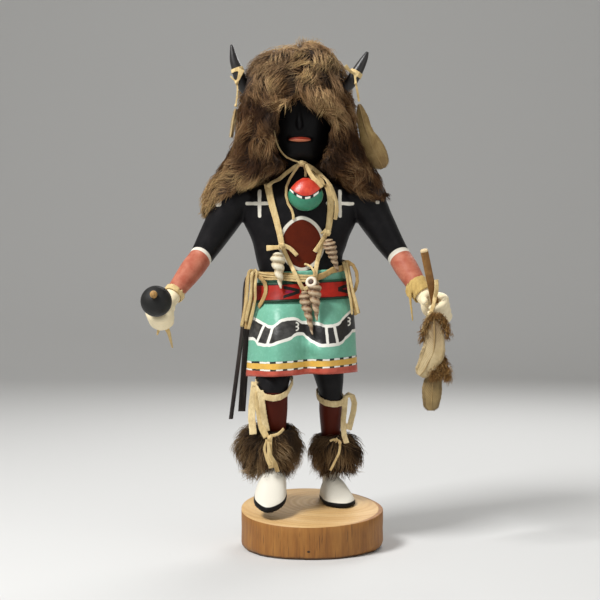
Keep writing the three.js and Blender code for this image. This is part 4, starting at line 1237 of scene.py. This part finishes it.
def trimmed(paths, solid, shrink, random, most):
    """Shortens the hairs that reach out of the CAD solid by more than most, so that its outline stays."""
    allowed = most * random.uniform(0.1, 1.0, len(paths)) ** 1.5
    reach = np.maximum(distance_out(paths[:, -1], solid), distance_out(paths[:, -2], solid))
    share = np.clip((allowed + shrink) / np.maximum(reach + shrink, 0.1), 0.15, 1)
    return paths[:, :1] + (paths - paths[:, :1]) * share[:, None, None]


def widths_for(random, count, thick):
    """How thick each hair is from its root to its tip, no two of them alike."""
    profile = np.interp(SHARES[None], [0, 0.35, 1], [0.85 * thick, thick, 0.2 * thick])
    return profile * random.uniform(0.7, 1.3, (count, 1))


def coat(node, fur, locks, roots, normals, flow, reach, tone, random):
    """The paths, widths and shades of a fur's hairs: where they root, lie and may reach, and their tone."""
    lengths = fur["short"] + fur["longer"] * lumps(roots, fur["patch"], 3)
    lengths = lengths + random.normal(0, fur["uneven"], len(roots))
    paths, lock = combed(roots, normals, flow, lengths, locks, fur, random)
    paths = trimmed(paths, cad_tree(node), fur["shrink"], random, reach)
    hair_tone, lock_tone = fur["tones"]
    tone = tone + random.normal(0, hair_tone, len(roots)) + random.normal(0, lock_tone, lock.max() + 1)[lock]
    # Each hair is darker at its root than at its tip: painted shade deep in the fur.
    at_root, gain = fur["shading"]
    shades = tone[:, None] * (at_root + gain * SHARES) + 0.08 * SHARES
    return paths, widths_for(random, len(roots), fur["thick"]), shades


def fur_finish(name, dark, middle, light, gold):
    finish = Finish(name, dark, 0.65, sheen=0.05, specular=0.15)
    shade = finish.attribute("shade")
    finish.layer(shade.above(0.28, 0.4), middle)
    finish.layer(shade.above(0.62, 0.36), light)
    finish.layer(shade.above(0.95, 0.3), gold)
    return finish


def pelt(node, fur):
    """The skin that the hair stands on: the CAD solid, softened, lumpy and smaller by the fur's shrink."""
    dark, light = fur["skin"]
    finish = Finish(f"{node}_skin", dark, 0.95)
    finish.clouds(light, 3, 1.0)
    skin = remeshed(copy_of(node, f"{node}_pelt"), fur["voxel"], rounds=6, keep=0.5)
    skin.data.materials.append(finish.done())
    sink(skin, fur["shrink"] * (0.55 + 0.9 * lumps(vertex_spots(skin.data), 24, 5)))
    return skin


def rooted(skin, body, wanted, clear, random):
    """Places for hairs on a pelt, none of them close against the figure."""
    roots, normals = surface_points(skin, wanted * 2, random)
    free = distance_out(roots, body) > clear
    return roots[free][:wanted], normals[free][:wanted]


# How each fur grows. Lengths are in millimetres; a tone of 0 is dark and 1 is light.
HOOD = dict(
    skin=((34, 22, 14), (56, 39, 26)),
    voxel=2.2, shrink=4.5, short=14, longer=8, patch=20, uneven=2.0, thick=0.42,
    lift=1.0, curl=0.95, clump=0.55, tones=(0.06, 0.12), shading=(0.5, 0.62),
)
ANKLET = dict(
    skin=((30, 22, 16), (52, 39, 28)),
    voxel=1.8, shrink=3.6, short=15, longer=6, patch=14, uneven=1.6, thick=0.38,
    lift=0.8, curl=0.7, clump=0.45, tones=(0.08, 0.1), shading=(0.45, 0.68),
)
CROWN = np.array([2.0, 26.0, 404.0])
HOOD_LACES = ["chin_tie", "necklace_thong", "horn_tie_right", "horn_tie_left", "horn_right", "horn_left"]
HOOD_PIECES = 3
HOOD_HAIRS = 31000
HOOD_LOCKS = 640
BARE_CORNER = (45, 274)  # no hair grows farther left and lower than this (x, z) on the cape


def hood_flow(roots):
    """The way the hair lies: away from the crown, down, and parted over the nose."""
    x, y, z = roots.T
    flow = unit(roots - CROWN) + np.array([0, 0, -0.25])
    brow = ramp(372 - z, 20) * ramp(z - 318, 20)
    flow[:, 0] += 0.85 * np.tanh(x / 12) * ramp(-y, 15) * brow
    flow[:, 0] += 0.5 * np.tanh(x / 30) * ramp(330 - z, 50)
    return flow + 0.8 * swirl(roots, 30, 20)


def hood_reach(roots):
    """How far the hair may stand out of the solid: more on the crown and over the brow, little at the hem."""
    x, y, z = roots.T
    brow = 4.2 * bell(x / 25) * bell((z - 352) / 17) * (y < 0)
    cheeks = 2.0 * bell((np.abs(x) - 26) / 9) * bell((z - 325) / 16) * (y < 0)
    return 4.4 + 2.4 * ramp(z - 378, 14) + brow + cheeks - 2.0 * ramp(292 - z, 10)


def hood_tone(roots):
    """How light the hair is: light on the crown and on the ends of the cape, dark round the face."""
    x, _, z = roots.T
    # Lighter on the crown: painted light from above.
    crown = 0.36 * ramp(z - 360, 22)
    brow = 0.34 * bell((x - 20) / 10) * bell((z - 348) / 15)
    hem = 0.5 * ramp(322 - z, 26) * ramp(-x, 30)
    # Darker round the face: painted shade in the hollow that the face sits in.
    cheeks = -0.32 * bell(np.hypot((x - 2) / 34, (z - 318) / 28) ** 2)
    return 0.45 + crown + brow + hem + cheeks + 0.85 * (lumps(roots, 24, 4) - 0.5)


def make_hood(body):
    random = np.random.default_rng(11)
    finish = fur_finish("hood_fur", (46, 29, 14), (112, 79, 46), (178, 144, 102), (218, 186, 130))
    # Darker reddish patches on the sides are painted shade, and light greyish patches on the crown are
    # painted light from above.
    sides, crown = abs(finish.x).above(30, 16), finish.z.above(366, 30)
    finish.clouds((88, 54, 32), 26, 0.35, within=sides, detail=2, limit=0.45)
    finish.clouds((166, 140, 110), 14, 0.4, within=crown, detail=2, limit=0.45, shift=2)
    material = finish.done()
    skin = pelt("fur_hood", HOOD)
    roots, normals = rooted(skin, body, HOOD_HAIRS, 1.5, random)
    kept = (roots[:, 0] < BARE_CORNER[0]) | (roots[:, 2] > BARE_CORNER[1])
    roots, normals = roots[kept], normals[kept]
    flow, reach, tone = hood_flow(roots), hood_reach(roots), hood_tone(roots)
    paths, widths, shades = coat("fur_hood", HOOD, HOOD_LOCKS, roots, normals, flow, reach, tone, random)
    shown = np.flatnonzero(~in_front(paths, cad_tree(*HOOD_LACES)))
    for piece, part in enumerate(np.array_split(random.permutation(shown), HOOD_PIECES)):
        hair = hair_mesh(f"hood_fur_{piece + 1}", paths[part], widths[part], shades[part], material)
        place(hair, "hood_fur")
    place(skin, "hood_fur", "fur_hood")


# How many hairs each anklet has, where its tie parts them, and how light they are.
# The left anklet's lower tone is painted shade.
ANKLETS = {"anklet_right": (4600, -23.4, 0.56), "anklet_left": (3400, 31.0, 0.42)}
HAIRS_PER_LOCK = 26


def make_anklet(node, body, material, random):
    """Hair that hangs from the anklet's top, parted in front by its tie."""
    hairs, parting, light = ANKLETS[node]
    skin = pelt(node, ANKLET)
    roots, normals = rooted(skin, body, hairs, 0.1, random)
    x, y, z = roots.T
    lo, hi = (np.array(corner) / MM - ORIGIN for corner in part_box(node))
    top = np.array([parting, (lo + hi)[1] / 2, hi[2] + 2])
    flow = unit(roots - top) + np.array([0, 0, -0.45])
    flow[:, 0] += 0.7 * np.tanh((x - parting) / 3) * ramp(top[1] - y, 10)
    flow += 0.35 * swirl(roots, 24, 40)
    reach = 2.5 + 5.0 * ramp(hi[2] - 4 - z, 12) + 3.5 * ramp(lo[2] + 9 - z, 9)
    tone = light + 0.16 * np.tanh((parting - x) / 8) + 0.7 * (lumps(roots, 18, 4) - 0.5)
    locks = hairs // HAIRS_PER_LOCK
    paths, widths, shades = coat(node, ANKLET, locks, roots, normals, flow, reach, tone, random)
    shown = ~in_front(paths, cad_tree(node.replace("anklet", "anklet_tie"), node.replace("anklet", "garter")))
    for name in TIE_STRANDS:
        if name.startswith(node):
            graph = bpy.context.evaluated_depsgraph_get()
            shown &= ~in_front(paths, BVHTree.FromObject(bpy.data.objects[name], graph))
    place(hair_mesh(f"{node}_fur", paths[shown], widths[shown], shades[shown], material), "anklet_fur")
    place(skin, "anklet_fur", node)


def make_anklets(body):
    material = fur_finish("anklet_fur", (50, 35, 20), (110, 84, 54), (164, 136, 98), (212, 192, 156)).done()
    for seed, node in enumerate(ANKLETS):
        make_anklet(node, body, material, np.random.default_rng(30 + seed))


# ---- The sea shells ----
# Half width, number of whorls and kind of each spired shell.
SHELLS = {
    "shell_right": (5.8, 4.6, "pale"),
    "shell_left": (5.2, 7.0, "banded"),
    "shell_low_right": (4.9, 6.5, "banded"),
    "shell_low_left": (5.5, 5.5, "banded"),
}


def cap_middle(node, top):
    """The middle of a CAD node's highest or lowest points, in millimetres."""
    spots = vertex_spots(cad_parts[node].data) - ORIGIN
    edge = spots[:, 2].max() if top else spots[:, 2].min()
    return spots[np.abs(spots[:, 2] - edge) < 0.8].mean(0)


def shell_shape(top, tip, half, whorls):
    """A cone whose skin winds round it in swelling whorls, and the turn at each of its points."""
    rows, sides = 84, 26
    axis = unit(tip - top)
    u = unit(np.cross(axis, BACK))
    v = np.cross(axis, u)
    t = np.linspace(0, 1, rows)[:, None]
    angle = np.arange(sides) / sides * 2 * math.pi
    taper = np.interp(t, [0, 0.05, 0.16, 0.3, 1], [0.3, 0.75, 1.0, 0.94, 0.12])
    turn = t**0.8 * whorls + angle / (2 * math.pi)
    whorl = np.abs(np.sin(turn * math.pi)) ** 0.6
    radius = half * taper * (0.68 + 0.36 * whorl)
    spin = radius[..., None] * (u * np.cos(angle)[:, None] + v * 0.9 * np.sin(angle)[:, None])
    return loft(top + (tip - top) * t[..., None] + spin), turn


def shell_finish(kind, base, stripe, light):
    finish = Finish(f"{kind}_shell", base, 0.4)
    turn = finish.attribute("turn")
    groove = (turn * math.pi).maths("SINE")
    # Darker in the grooves between whorls, partly the shell's own bands and partly painted shade; lighter on
    # the crests as painted highlights.
    finish.layer(abs(groove).below(0.4, 0.45) * 0.75, stripe)
    finish.layer(turn.sine(0.34).above(0.5, 0.9) * 0.35, stripe)
    finish.layer(abs(groove).above(0.86, 0.2) * 0.7, light)
    finish.clouds(light, 2.5, 0.6, limit=0.58, blur=0.25)
    finish.rise(turn.sine(0.13), 0.08)
    finish.bumps((1.0, 4, 0.15))
    return finish.done()


def make_shells():
    finishes = {
        "pale": shell_finish("pale", (218, 204, 170), (150, 124, 86), (240, 232, 208)),
        "banded": shell_finish("banded", (148, 114, 82), (76, 46, 28), (202, 180, 148)),
    }
    for node, (half, whorls, kind) in SHELLS.items():
        shape, turn = shell_shape(cap_middle(node, True), cap_middle(node, False), half, whorls)
        shell = make(f"{node}_whorls", shape, finishes[kind])
        set_values(shell.data, "turn", turn)
        place(shell, f"{kind}_shell", node)
    make_shell_mouth()


def make_shell_mouth():
    """The round white lip at the top of the lower left shell, and in it a shallow dark dish: painted shade
    for the hollow.
    """
    top = cap_middle("shell_low_left", True) + np.array([-2.2, -2.6, -1.0])
    facing = unit(np.array([-0.25, -0.9, 0.35]))
    u = unit(np.cross(facing, UP))
    v = np.cross(facing, u)
    lip = []
    for angle in np.linspace(0, 2 * math.pi, 33)[:-1]:
        out = u * math.cos(angle) + v * math.sin(angle)
        lip.append(ring(top + out * 3.3, out, facing, 1.3, 1.1, 12))
    white = Finish("shell_lip", (226, 214, 192), 0.35)
    white.clouds((190, 160, 130), 2, 0.5, detail=3, limit=0.55)
    place(make("shell_lip", loft(lip, loop=True), white.done()), "banded_shell")
    # The hollow is a shallow dish painted dark brown: painted shade for a deep opening.
    dark = Finish("shell_hollow", (46, 28, 16), 0.6)
    dark.clouds((96, 62, 36), 2, 0.6, detail=3)
    bowl = [(0.6, 0.3), (0.4, 2.4), (0, 2.9), (-0.4, 2.4)]
    hollow = [ring(top - facing * depth, u, v, radius, radius, 20) for depth, radius in bowl]
    place(make("shell_hollow", loft(hollow), dark.done()), "banded_shell")


# ---- The pendant ----
# Height, half width and half depth.
PENDANT = [
    (294.5, 2.6, 2.2),
    (291.5, 7.2, 5.2),
    (287.5, 11, 7.4),
    (284, 13.2, 8.6),
    (281, 13.8, 9),
    (276.5, 12.8, 8.4),
    (272.5, 9.8, 6.6),
    (269.6, 5.4, 3.8),
    (268.8, 2, 1.6),
]
PENDANT_X, PENDANT_Y = 4.6, -21.6


def pendant_paint():
    """A red cap over a green bowl, with a dashed black line between them."""
    finish = Finish("pendant_paint", (44, 122, 92), 0.34)
    x = finish.x - PENDANT_X
    seam = finish.z - x * x * 0.046 + (finish.noise(2.5, 3) - 0.5) * 0.5
    cap = seam.above(280.1)
    finish.clouds((60, 148, 116), 5, 0.5, detail=3)
    finish.layer(seam.above(277.4), (18, 16, 16))
    finish.layer(seam.between(277.6, 279.3) & x.sine(6.6).above(-0.35, 0.3), (230, 226, 214))
    finish.layer(cap, (184, 50, 34))
    finish.clouds((222, 84, 58), 4, 0.6, within=cap, detail=3, limit=0.55)
    finish.bumps((1.4, 3, 0.1))
    return finish.done()


def make_pendant():
    """A little gourd."""
    z, half, deep = smooth_path(PENDANT, 57).T
    centres = np.stack([np.full_like(z, PENDANT_X), np.full_like(z, PENDANT_Y), z], axis=1)
    sections = ring(centres, SIDE, BACK, np.maximum(half, 0.6), np.maximum(deep, 0.6), 48)
    place(make("pendant_gourd", loft(sections), pendant_paint()), "pendant_paint", "pendant")


# ---- The rattle and the dance stick ----
HANDLE_RADIUS = 2.4
GOURD = {"radius": 12.0, "reach": 24.0}
KNOB = {"radius": 2.9, "reach": 38.0}
STICK = {"half": 3.0, "thick": 1.7, "above": 55.0, "below": 15.0}


def turned(side, profile, sides=32, power=2.0, flat=1.0):
    """A shape round a hand's grip axis, from (distance along it, radius) points."""
    centre, axis, _, _ = grip_axes(side)
    u = unit(SIDE - axis * (SIDE @ axis))
    v = np.cross(axis, u)
    reach, radius = np.array(profile, float).T
    middles = centre + axis * reach[:, None]
    return loft(ring(middles, u, v, radius, radius * flat, sides, power))


def dome(reach, radius, start=0.0, end=math.pi, steps=25):
    """Profile points of a ball, or a part of one, on the grip axis."""
    angles = np.linspace(start, end, steps)
    return [(reach - radius * math.cos(a), max(0.05, radius * math.sin(a))) for a in angles]


def rattle_wood():
    finish = Finish("rattle_wood", (178, 136, 78), 0.6, specular=0.35)
    finish.clouds((107, 82, 47), 1.5, 0.6, tall=9)
    finish.clouds((196, 160, 108), 5, 0.5, limit=0.62, blur=0.2)
    finish.bumps((0.9, 4, 0.15, 8))
    return finish.done()


def make_rattle():
    black = Finish("rattle_paint", (13, 13, 12), 0.58, specular=0.4)
    black.clouds((36, 34, 30), 6, 0.5, detail=5, limit=0.6, blur=0.2)
    black.bumps((1.5, 4, 0.08), (9, 2, 0.8))
    hole = math.asin((HANDLE_RADIUS + 0.35) / GOURD["radius"])
    gourd = turned(-1, dome(GOURD["reach"], GOURD["radius"], hole, math.pi - hole, 33), 48)
    place(make("rattle_head", gourd, black.done()), "rattle_paint", "rattle_gourd")
    rod = turned(-1, [(-15, 1.6), (-14.6, 2.2), (-14, HANDLE_RADIUS), (36, HANDLE_RADIUS), (37, 2.2)])
    knob = turned(-1, dome(KNOB["reach"], KNOB["radius"]))
    handle = make("rattle_rod", joined(rod, knob), rattle_wood())
    place(handle, "stick_wood", "rattle_handle")


def make_stick():
    above, below, half = STICK["above"], STICK["below"], STICK["half"]
    profile = [(-below, half - 0.6), (-below + 0.6, half), (above - 1, half), (above, half - 0.8)]
    shape = turned(1, profile, 32, 3.2, STICK["thick"] / half)
    finish = Finish("stick_wood", (140, 96, 40), 0.5, specular=0.4)
    finish.clouds((102, 68, 26), 2, 0.6, tall=8)
    finish.clouds((182, 136, 72), 6, 0.5, detail=3, limit=0.62, blur=0.2)
    centre, axis, _, _ = grip_axes(1)
    # The bare end grain.
    finish.layer(finish.along(centre, axis).above(above - 1.6), (214, 190, 148))
    finish.bumps((0.9, 4, 0.15, 8))
    place(make("stick_carved", shape, finish.done()), "stick_wood", "dance_stick")


# ---- Slats ----
# The middle line, the width and the depth of each.
SLATS = {
    "sash_slat_long": ([(-42.6, 11, 216), (-44.4, 12, 206), (-46.6, 13, 173.5), (-56, 14, 101)], 3.4, 8.0),
    "sash_slat_short": ([(-42.6, 24, 196), (-43, 24, 174), (-47.6, 24, 106)], 6.0, 3.0),
}


def make_slats():
    finish = Finish("slat_paint", (36, 30, 28), 0.5, specular=0.4)
    finish.clouds((60, 50, 46), 3, 0.7, tall=8)
    finish.clouds((112, 96, 82), 1.2, 0.7, limit=0.66, blur=0.1, tall=12)
    finish.bumps((1.0, 4, 0.2, 10))
    material = finish.done()
    count = 40
    for node, (route, wide, deep) in SLATS.items():
        widths, depths = np.full(count, wide / 2), np.full(count, deep / 2)
        sections = ring(smooth_path(route, count), SIDE, BACK, widths, depths, 24, 6)
        place(make(f"{node}_carved", loft(sections), material), "slat_paint", node)


# ---- Feathers ----
# Each feather's kind, and its vane's middle line and half width from its root to its tip.
VANES = {
    "feather_upper": (
        "cream",
        [(103.2, -45.6, 188.5, 1.4), (103.8, -45.8, 175, 6.7), (103.8, -45.6, 165, 8.8),
         (102.7, -45.2, 158, 8.5), (99.7, -44.6, 151.5, 7.6), (96.2, -43.8, 144.7, 6.3),
         (92.8, -43, 140.4, 2.4)],
    ),
    "feather_lower": (
        "tan",
        [(108.4, -40.8, 170, 1.2), (108, -40.6, 156, 3.6), (105.6, -40.2, 145, 5.4), (103.2, -39.6, 134, 7.0),
         (102.6, -39.2, 124, 7.6), (102.2, -38.8, 116.5, 6.0), (102, -38.4, 113, 2.2)],
    ),
    "feather_left": (
        "olive",
        [(47.8, 3.2, 355, 1.6), (50, 3.2, 345, 4.6), (53, 3.2, 334, 5.6), (56.4, 3, 325, 7.6),
         (60, 2.4, 316, 9.2), (64.4, 1.8, 308.5, 7), (67, 1.4, 303.5, 2.2)],
    ),
    "feather_right": (
        "cream",
        [(-51.2, -1, 350.8, 1), (-52.4, -1.6, 344, 1.5), (-53.6, -1.6, 337, 1.7), (-55, -1, 328, 1.2)],
    ),
}
# Soft brown down on a feather: how many hairs, how long, which way they hang, and where they grow.
DOWN = [
    ("feather_upper", 620, 5, (0.15, -0.1, -1),
     [(103, -46.6, 189), (108, -46, 187.5), (112, -45, 181), (114, -44, 171)]),
    ("feather_upper", 300, 5, (-0.2, -0.1, -1),
     [(102.6, -46.6, 189), (99, -46, 184), (96.4, -45, 175), (94.4, -44, 168)]),
    ("feather_lower", 620, 6, (0.1, -0.2, -1),
     [(108.6, -42, 158), (111, -42, 152), (113.4, -42, 145), (114, -42, 139)]),
    ("feather_lower", 560, 6, (-0.25, -0.2, -1),
     [(108, -42, 156), (105, -42, 150), (103, -42, 144), (104, -42, 139)]),
    ("feather_lower", 520, 5, (0, -0.2, -1),
     [(107, -41.6, 158), (109, -41.6, 151), (109, -41.6, 145), (109, -41.6, 140)]),
]


def vane_shape(stations, random):
    """A thin closed blade, bowed across, with nicks where its barbs have parted, and its front face."""
    rows, columns, thick = 64, 14, 0.5
    path = smooth_path(stations, rows)
    half = path[:, 3] * (1 + 0.05 * np.sin(np.linspace(0, 15, rows))) + random.normal(0, 0.14, rows)
    across = np.linspace(-1, 1, columns)
    slope = np.gradient(path[:, 0]) / -np.gradient(path[:, 2])
    x = path[:, :1] + across * half[:, None]
    z = path[:, 2:3] + across * half[:, None] * slope[:, None] * 0.8
    bow = 1.4 * across**2 - 0.5 + 0.35 * np.sin(np.linspace(0, 9, rows))[:, None]
    front = np.stack([x, path[:, 1:2] + bow, z], axis=-1)
    back = front[:, ::-1] + BACK * thick
    return loft(np.concatenate([front, back], axis=1)), front


def feather_finish(kind, base, light, dark, blotch, tip=0.0):
    finish = Finish(f"feather_{kind}", base, 0.62, sheen=0.2, specular=0.3)
    shade = finish.attribute("shade")
    finish.clouds(light, 7, 0.7, detail=3)
    finish.layer(shade.sine(0.036).above(0.3, 0.9) * 0.12, dark)
    finish.layer(shade.below(blotch, 0.4) * 0.75, dark)
    finish.layer(shade.above(0.74, 0.5) * tip, dark)
    finish.clouds(dark, 2.6, 0.3, limit=0.6, blur=0.2, tall=2)
    finish.rise(shade.sine(0.036), 0.06)
    return finish.done()


def hair_tufts(path, count, length, aim, random):
    """Soft curling hairs that hang from a path."""
    roots = smooth_path(path, count) + random.normal(0, 1, (count, 3)) * [1.5, 0.5, 0.7]
    heading = unit(random.normal(0, 0.5, (count, 3)) * [1, 0.4, 0.7] + np.array(aim))
    share = SHARES[None, :, None]
    curl = random.normal(0, 0.7, (count, LEVELS, 3)) * share
    reach = length * random.uniform(0.5, 1.1, (count, 1, 1))
    return roots[:, None] + heading[:, None] * share * reach + curl


def fringe(front, random):
    """Barb ends that stand a little past both edges of a vane, swept towards its tip."""
    count = 130
    rows = np.linspace(2, len(front) - 3, count).astype(int)
    paths = []
    for edge, inner in ((0, 2), (-1, -3)):
        root = front[rows, inner]
        out = unit(front[rows, edge] - root)
        along = unit(front[rows + 2, edge] - front[rows - 2, edge])
        heading = unit(out + along * 0.8)
        reach = np.linalg.norm(front[rows, edge] - root, axis=1) + random.uniform(0.1, 0.9, count)
        barb = heading[:, None] * SHARES[None, :, None] * reach[:, None, None] * 1.15
        paths.append(root[:, None] - BACK * 0.05 + barb)
    return np.concatenate(paths)


def quill_paint():
    finish = Finish("quill", (160, 134, 88), 0.5, specular=0.4)
    finish.clouds((132, 104, 62), 3, 0.6, detail=3)
    return finish.done()


def make_feather(node, stations, material, quill, random):
    """A vane with its fringe of barbs and its quill."""
    shape, front = vane_shape(stations, random)
    vane = make(f"{node}_vane", shape, material)
    shade = np.linspace(0, 1, len(front))[:, None] + 0.16 * np.abs(np.linspace(-1, 1, front.shape[1]))
    set_values(vane.data, "shade", np.concatenate([shade, shade[:, ::-1]], axis=1))
    place(vane, "feather", node)
    barbs = fringe(front, random)
    widths = widths_for(random, len(barbs), 0.36)
    shades = np.full((len(barbs), LEVELS), 0.5)
    place(hair_mesh(f"{node}_fringe", barbs, widths, shades, material), "feather")
    radii = np.linspace(0.7, 0.2, len(stations))
    spine = [(x, y - 0.5, z, radius) for (x, y, z, _), radius in zip(stations, radii)]
    place(make(f"{node}_quill", loft(rings(spine, 10)), quill), "feather")


def make_feathers():
    kinds = {
        "cream": feather_finish("cream", (182, 160, 116), (210, 190, 148), (124, 98, 72), 0.34),
        "tan": feather_finish("tan", (134, 112, 70), (160, 136, 90), (74, 50, 24), 0.5),
        "olive": feather_finish("olive", (140, 114, 66), (176, 150, 98), (84, 58, 26), 0.1, 0.65),
    }
    brown = fur_finish("feather_down", (74, 48, 22), (114, 79, 38), (146, 108, 58), (184, 150, 98)).done()
    quill = quill_paint()
    for seed, (node, (kind, stations)) in enumerate(VANES.items()):
        make_feather(node, stations, kinds[kind], quill, np.random.default_rng(60 + seed))
    for index, (node, count, length, aim, path) in enumerate(DOWN):
        random = np.random.default_rng(80 + index)
        paths = hair_tufts(path, count, length, aim, random)
        shades = random.uniform(0.1, 0.9, (count, 1)) + 0.25 * SHARES[None]
        widths = widths_for(random, count, 0.45)
        place(hair_mesh(f"{node}_down_{index + 1}", paths, widths, shades, brown), "feather")


# ---- The slab ----
# The slab's outlines from below. At the torn lower rim: shares of the tear's depth, inwards and upwards.
TORN_RIM = [(1.0, 0), (0.45, 0.5), (0.12, 1.0), (0, 1.5)]
# Above it: the share of the height, and millimetres inwards.
SAWN = [(0.25, 0), (0.5, 0.15), (0.75, 0), (0.985, 0), (0.995, 0.2), (1.0, 0.6), (1.0, 20)]
SLAB_ANGLES = np.arange(144) / 144 * 2 * math.pi


def slab_outline(shrink):
    wave = 1 - 0.012 * np.cos(2 * SLAB_ANGLES) + 0.014 * np.cos(3 * SLAB_ANGLES + 0.9)
    point = 0.02 * bell(np.sin(SLAB_ANGLES / 2) / 0.16)
    radius = SLAB["radius"] * (wave + point) - shrink
    return radius * np.cos(SLAB_ANGLES), radius * np.sin(SLAB_ANGLES)


def slab_paint():
    """Bare cottonwood: growth rings on the sawn top, grain down the darker side."""
    finish = Finish("slab_wood", (212, 174, 116), 0.55, specular=0.4)
    x, y, z = finish.x + FIGURE_X, finish.y, finish.z
    growth = length_of(x * 0.9 - 14, y - 16) + finish.noise(22, 3) * 5
    side = length_of(x, y).above(SLAB["radius"] - 2.6, 1.2)
    side = side & (z - y * SLAB["slope_y"]).below(SLAB["height"] - 0.5)
    finish.layer(growth.sine(5.2).above(0.2, 1.2) * 0.4, (188, 142, 88))
    finish.layer(growth.sine(19.0).above(0.3, 1.0) * 0.35, (230, 198, 144))
    finish.clouds((194, 152, 100), 30, 0.4, limit=0.52, blur=0.25)
    finish.clouds((140, 96, 54), 1.2, 0.4, detail=3, limit=0.66, blur=0.1)
    finish.layer(side, (150, 98, 42))
    grain = finish.noise(1.8, 4, 16)
    finish.layer(side & grain.above(0.5, 0.25) * 0.6, (118, 74, 32))
    finish.clouds((174, 122, 58), 9, 0.5, within=side, detail=3, limit=0.52, blur=0.2, tall=5)
    finish.clouds((78, 48, 24), 1.0, 0.7, within=side, detail=2, limit=0.66, blur=0.08, tall=22, shift=4)
    finish.layer(z.below(1.6, 1.2) & side * 0.8, (58, 38, 22))
    hole = length_of(x + 2.2, (z - 6.4) * 1.4).below(1.2, 0.6)
    finish.layer(hole & y.below(-30), (46, 28, 14))
    finish.rise(grain & side, 0.35)
    finish.rise(growth.sine(5.2) & side.flipped(), 0.08)
    finish.bumps((0.8, 3, 0.08))
    return finish.done()


def make_slab():
    torn = 1.3 + 2.2 * np.cos(SLAB_ANGLES) ** 2
    for size, waves, start in ((0.5, 7, 1), (0.3, 17, 0), (0.25, 43, 0)):
        torn = torn + size * np.sin(waves * SLAB_ANGLES + start)
    sections = []
    for inward, upward in TORN_RIM:
        x, y = slab_outline(torn * inward)
        sections.append(np.stack([x, y, torn * upward], axis=1))
    for share, shrink in SAWN:
        x, y = slab_outline(shrink)
        sections.append(np.stack([x, y, slab_top(x - FIGURE_X, y) * share], axis=1))
    place(make("slab_sawn", loft(np.array(sections) - ORIGIN), slab_paint()), "slab_wood", "base_slab")


make_camera()
make_studio()
make_floor()
doll = make_figure()
make_slab()
make_horns()
make_kilt_and_belt()
make_laces()
make_strands()
body = BVHTree.FromObject(doll, bpy.context.evaluated_depsgraph_get())
make_hood(body)
make_anklets(body)
make_shells()
make_pendant()
make_rattle()
make_stick()
make_slats()
make_feathers()
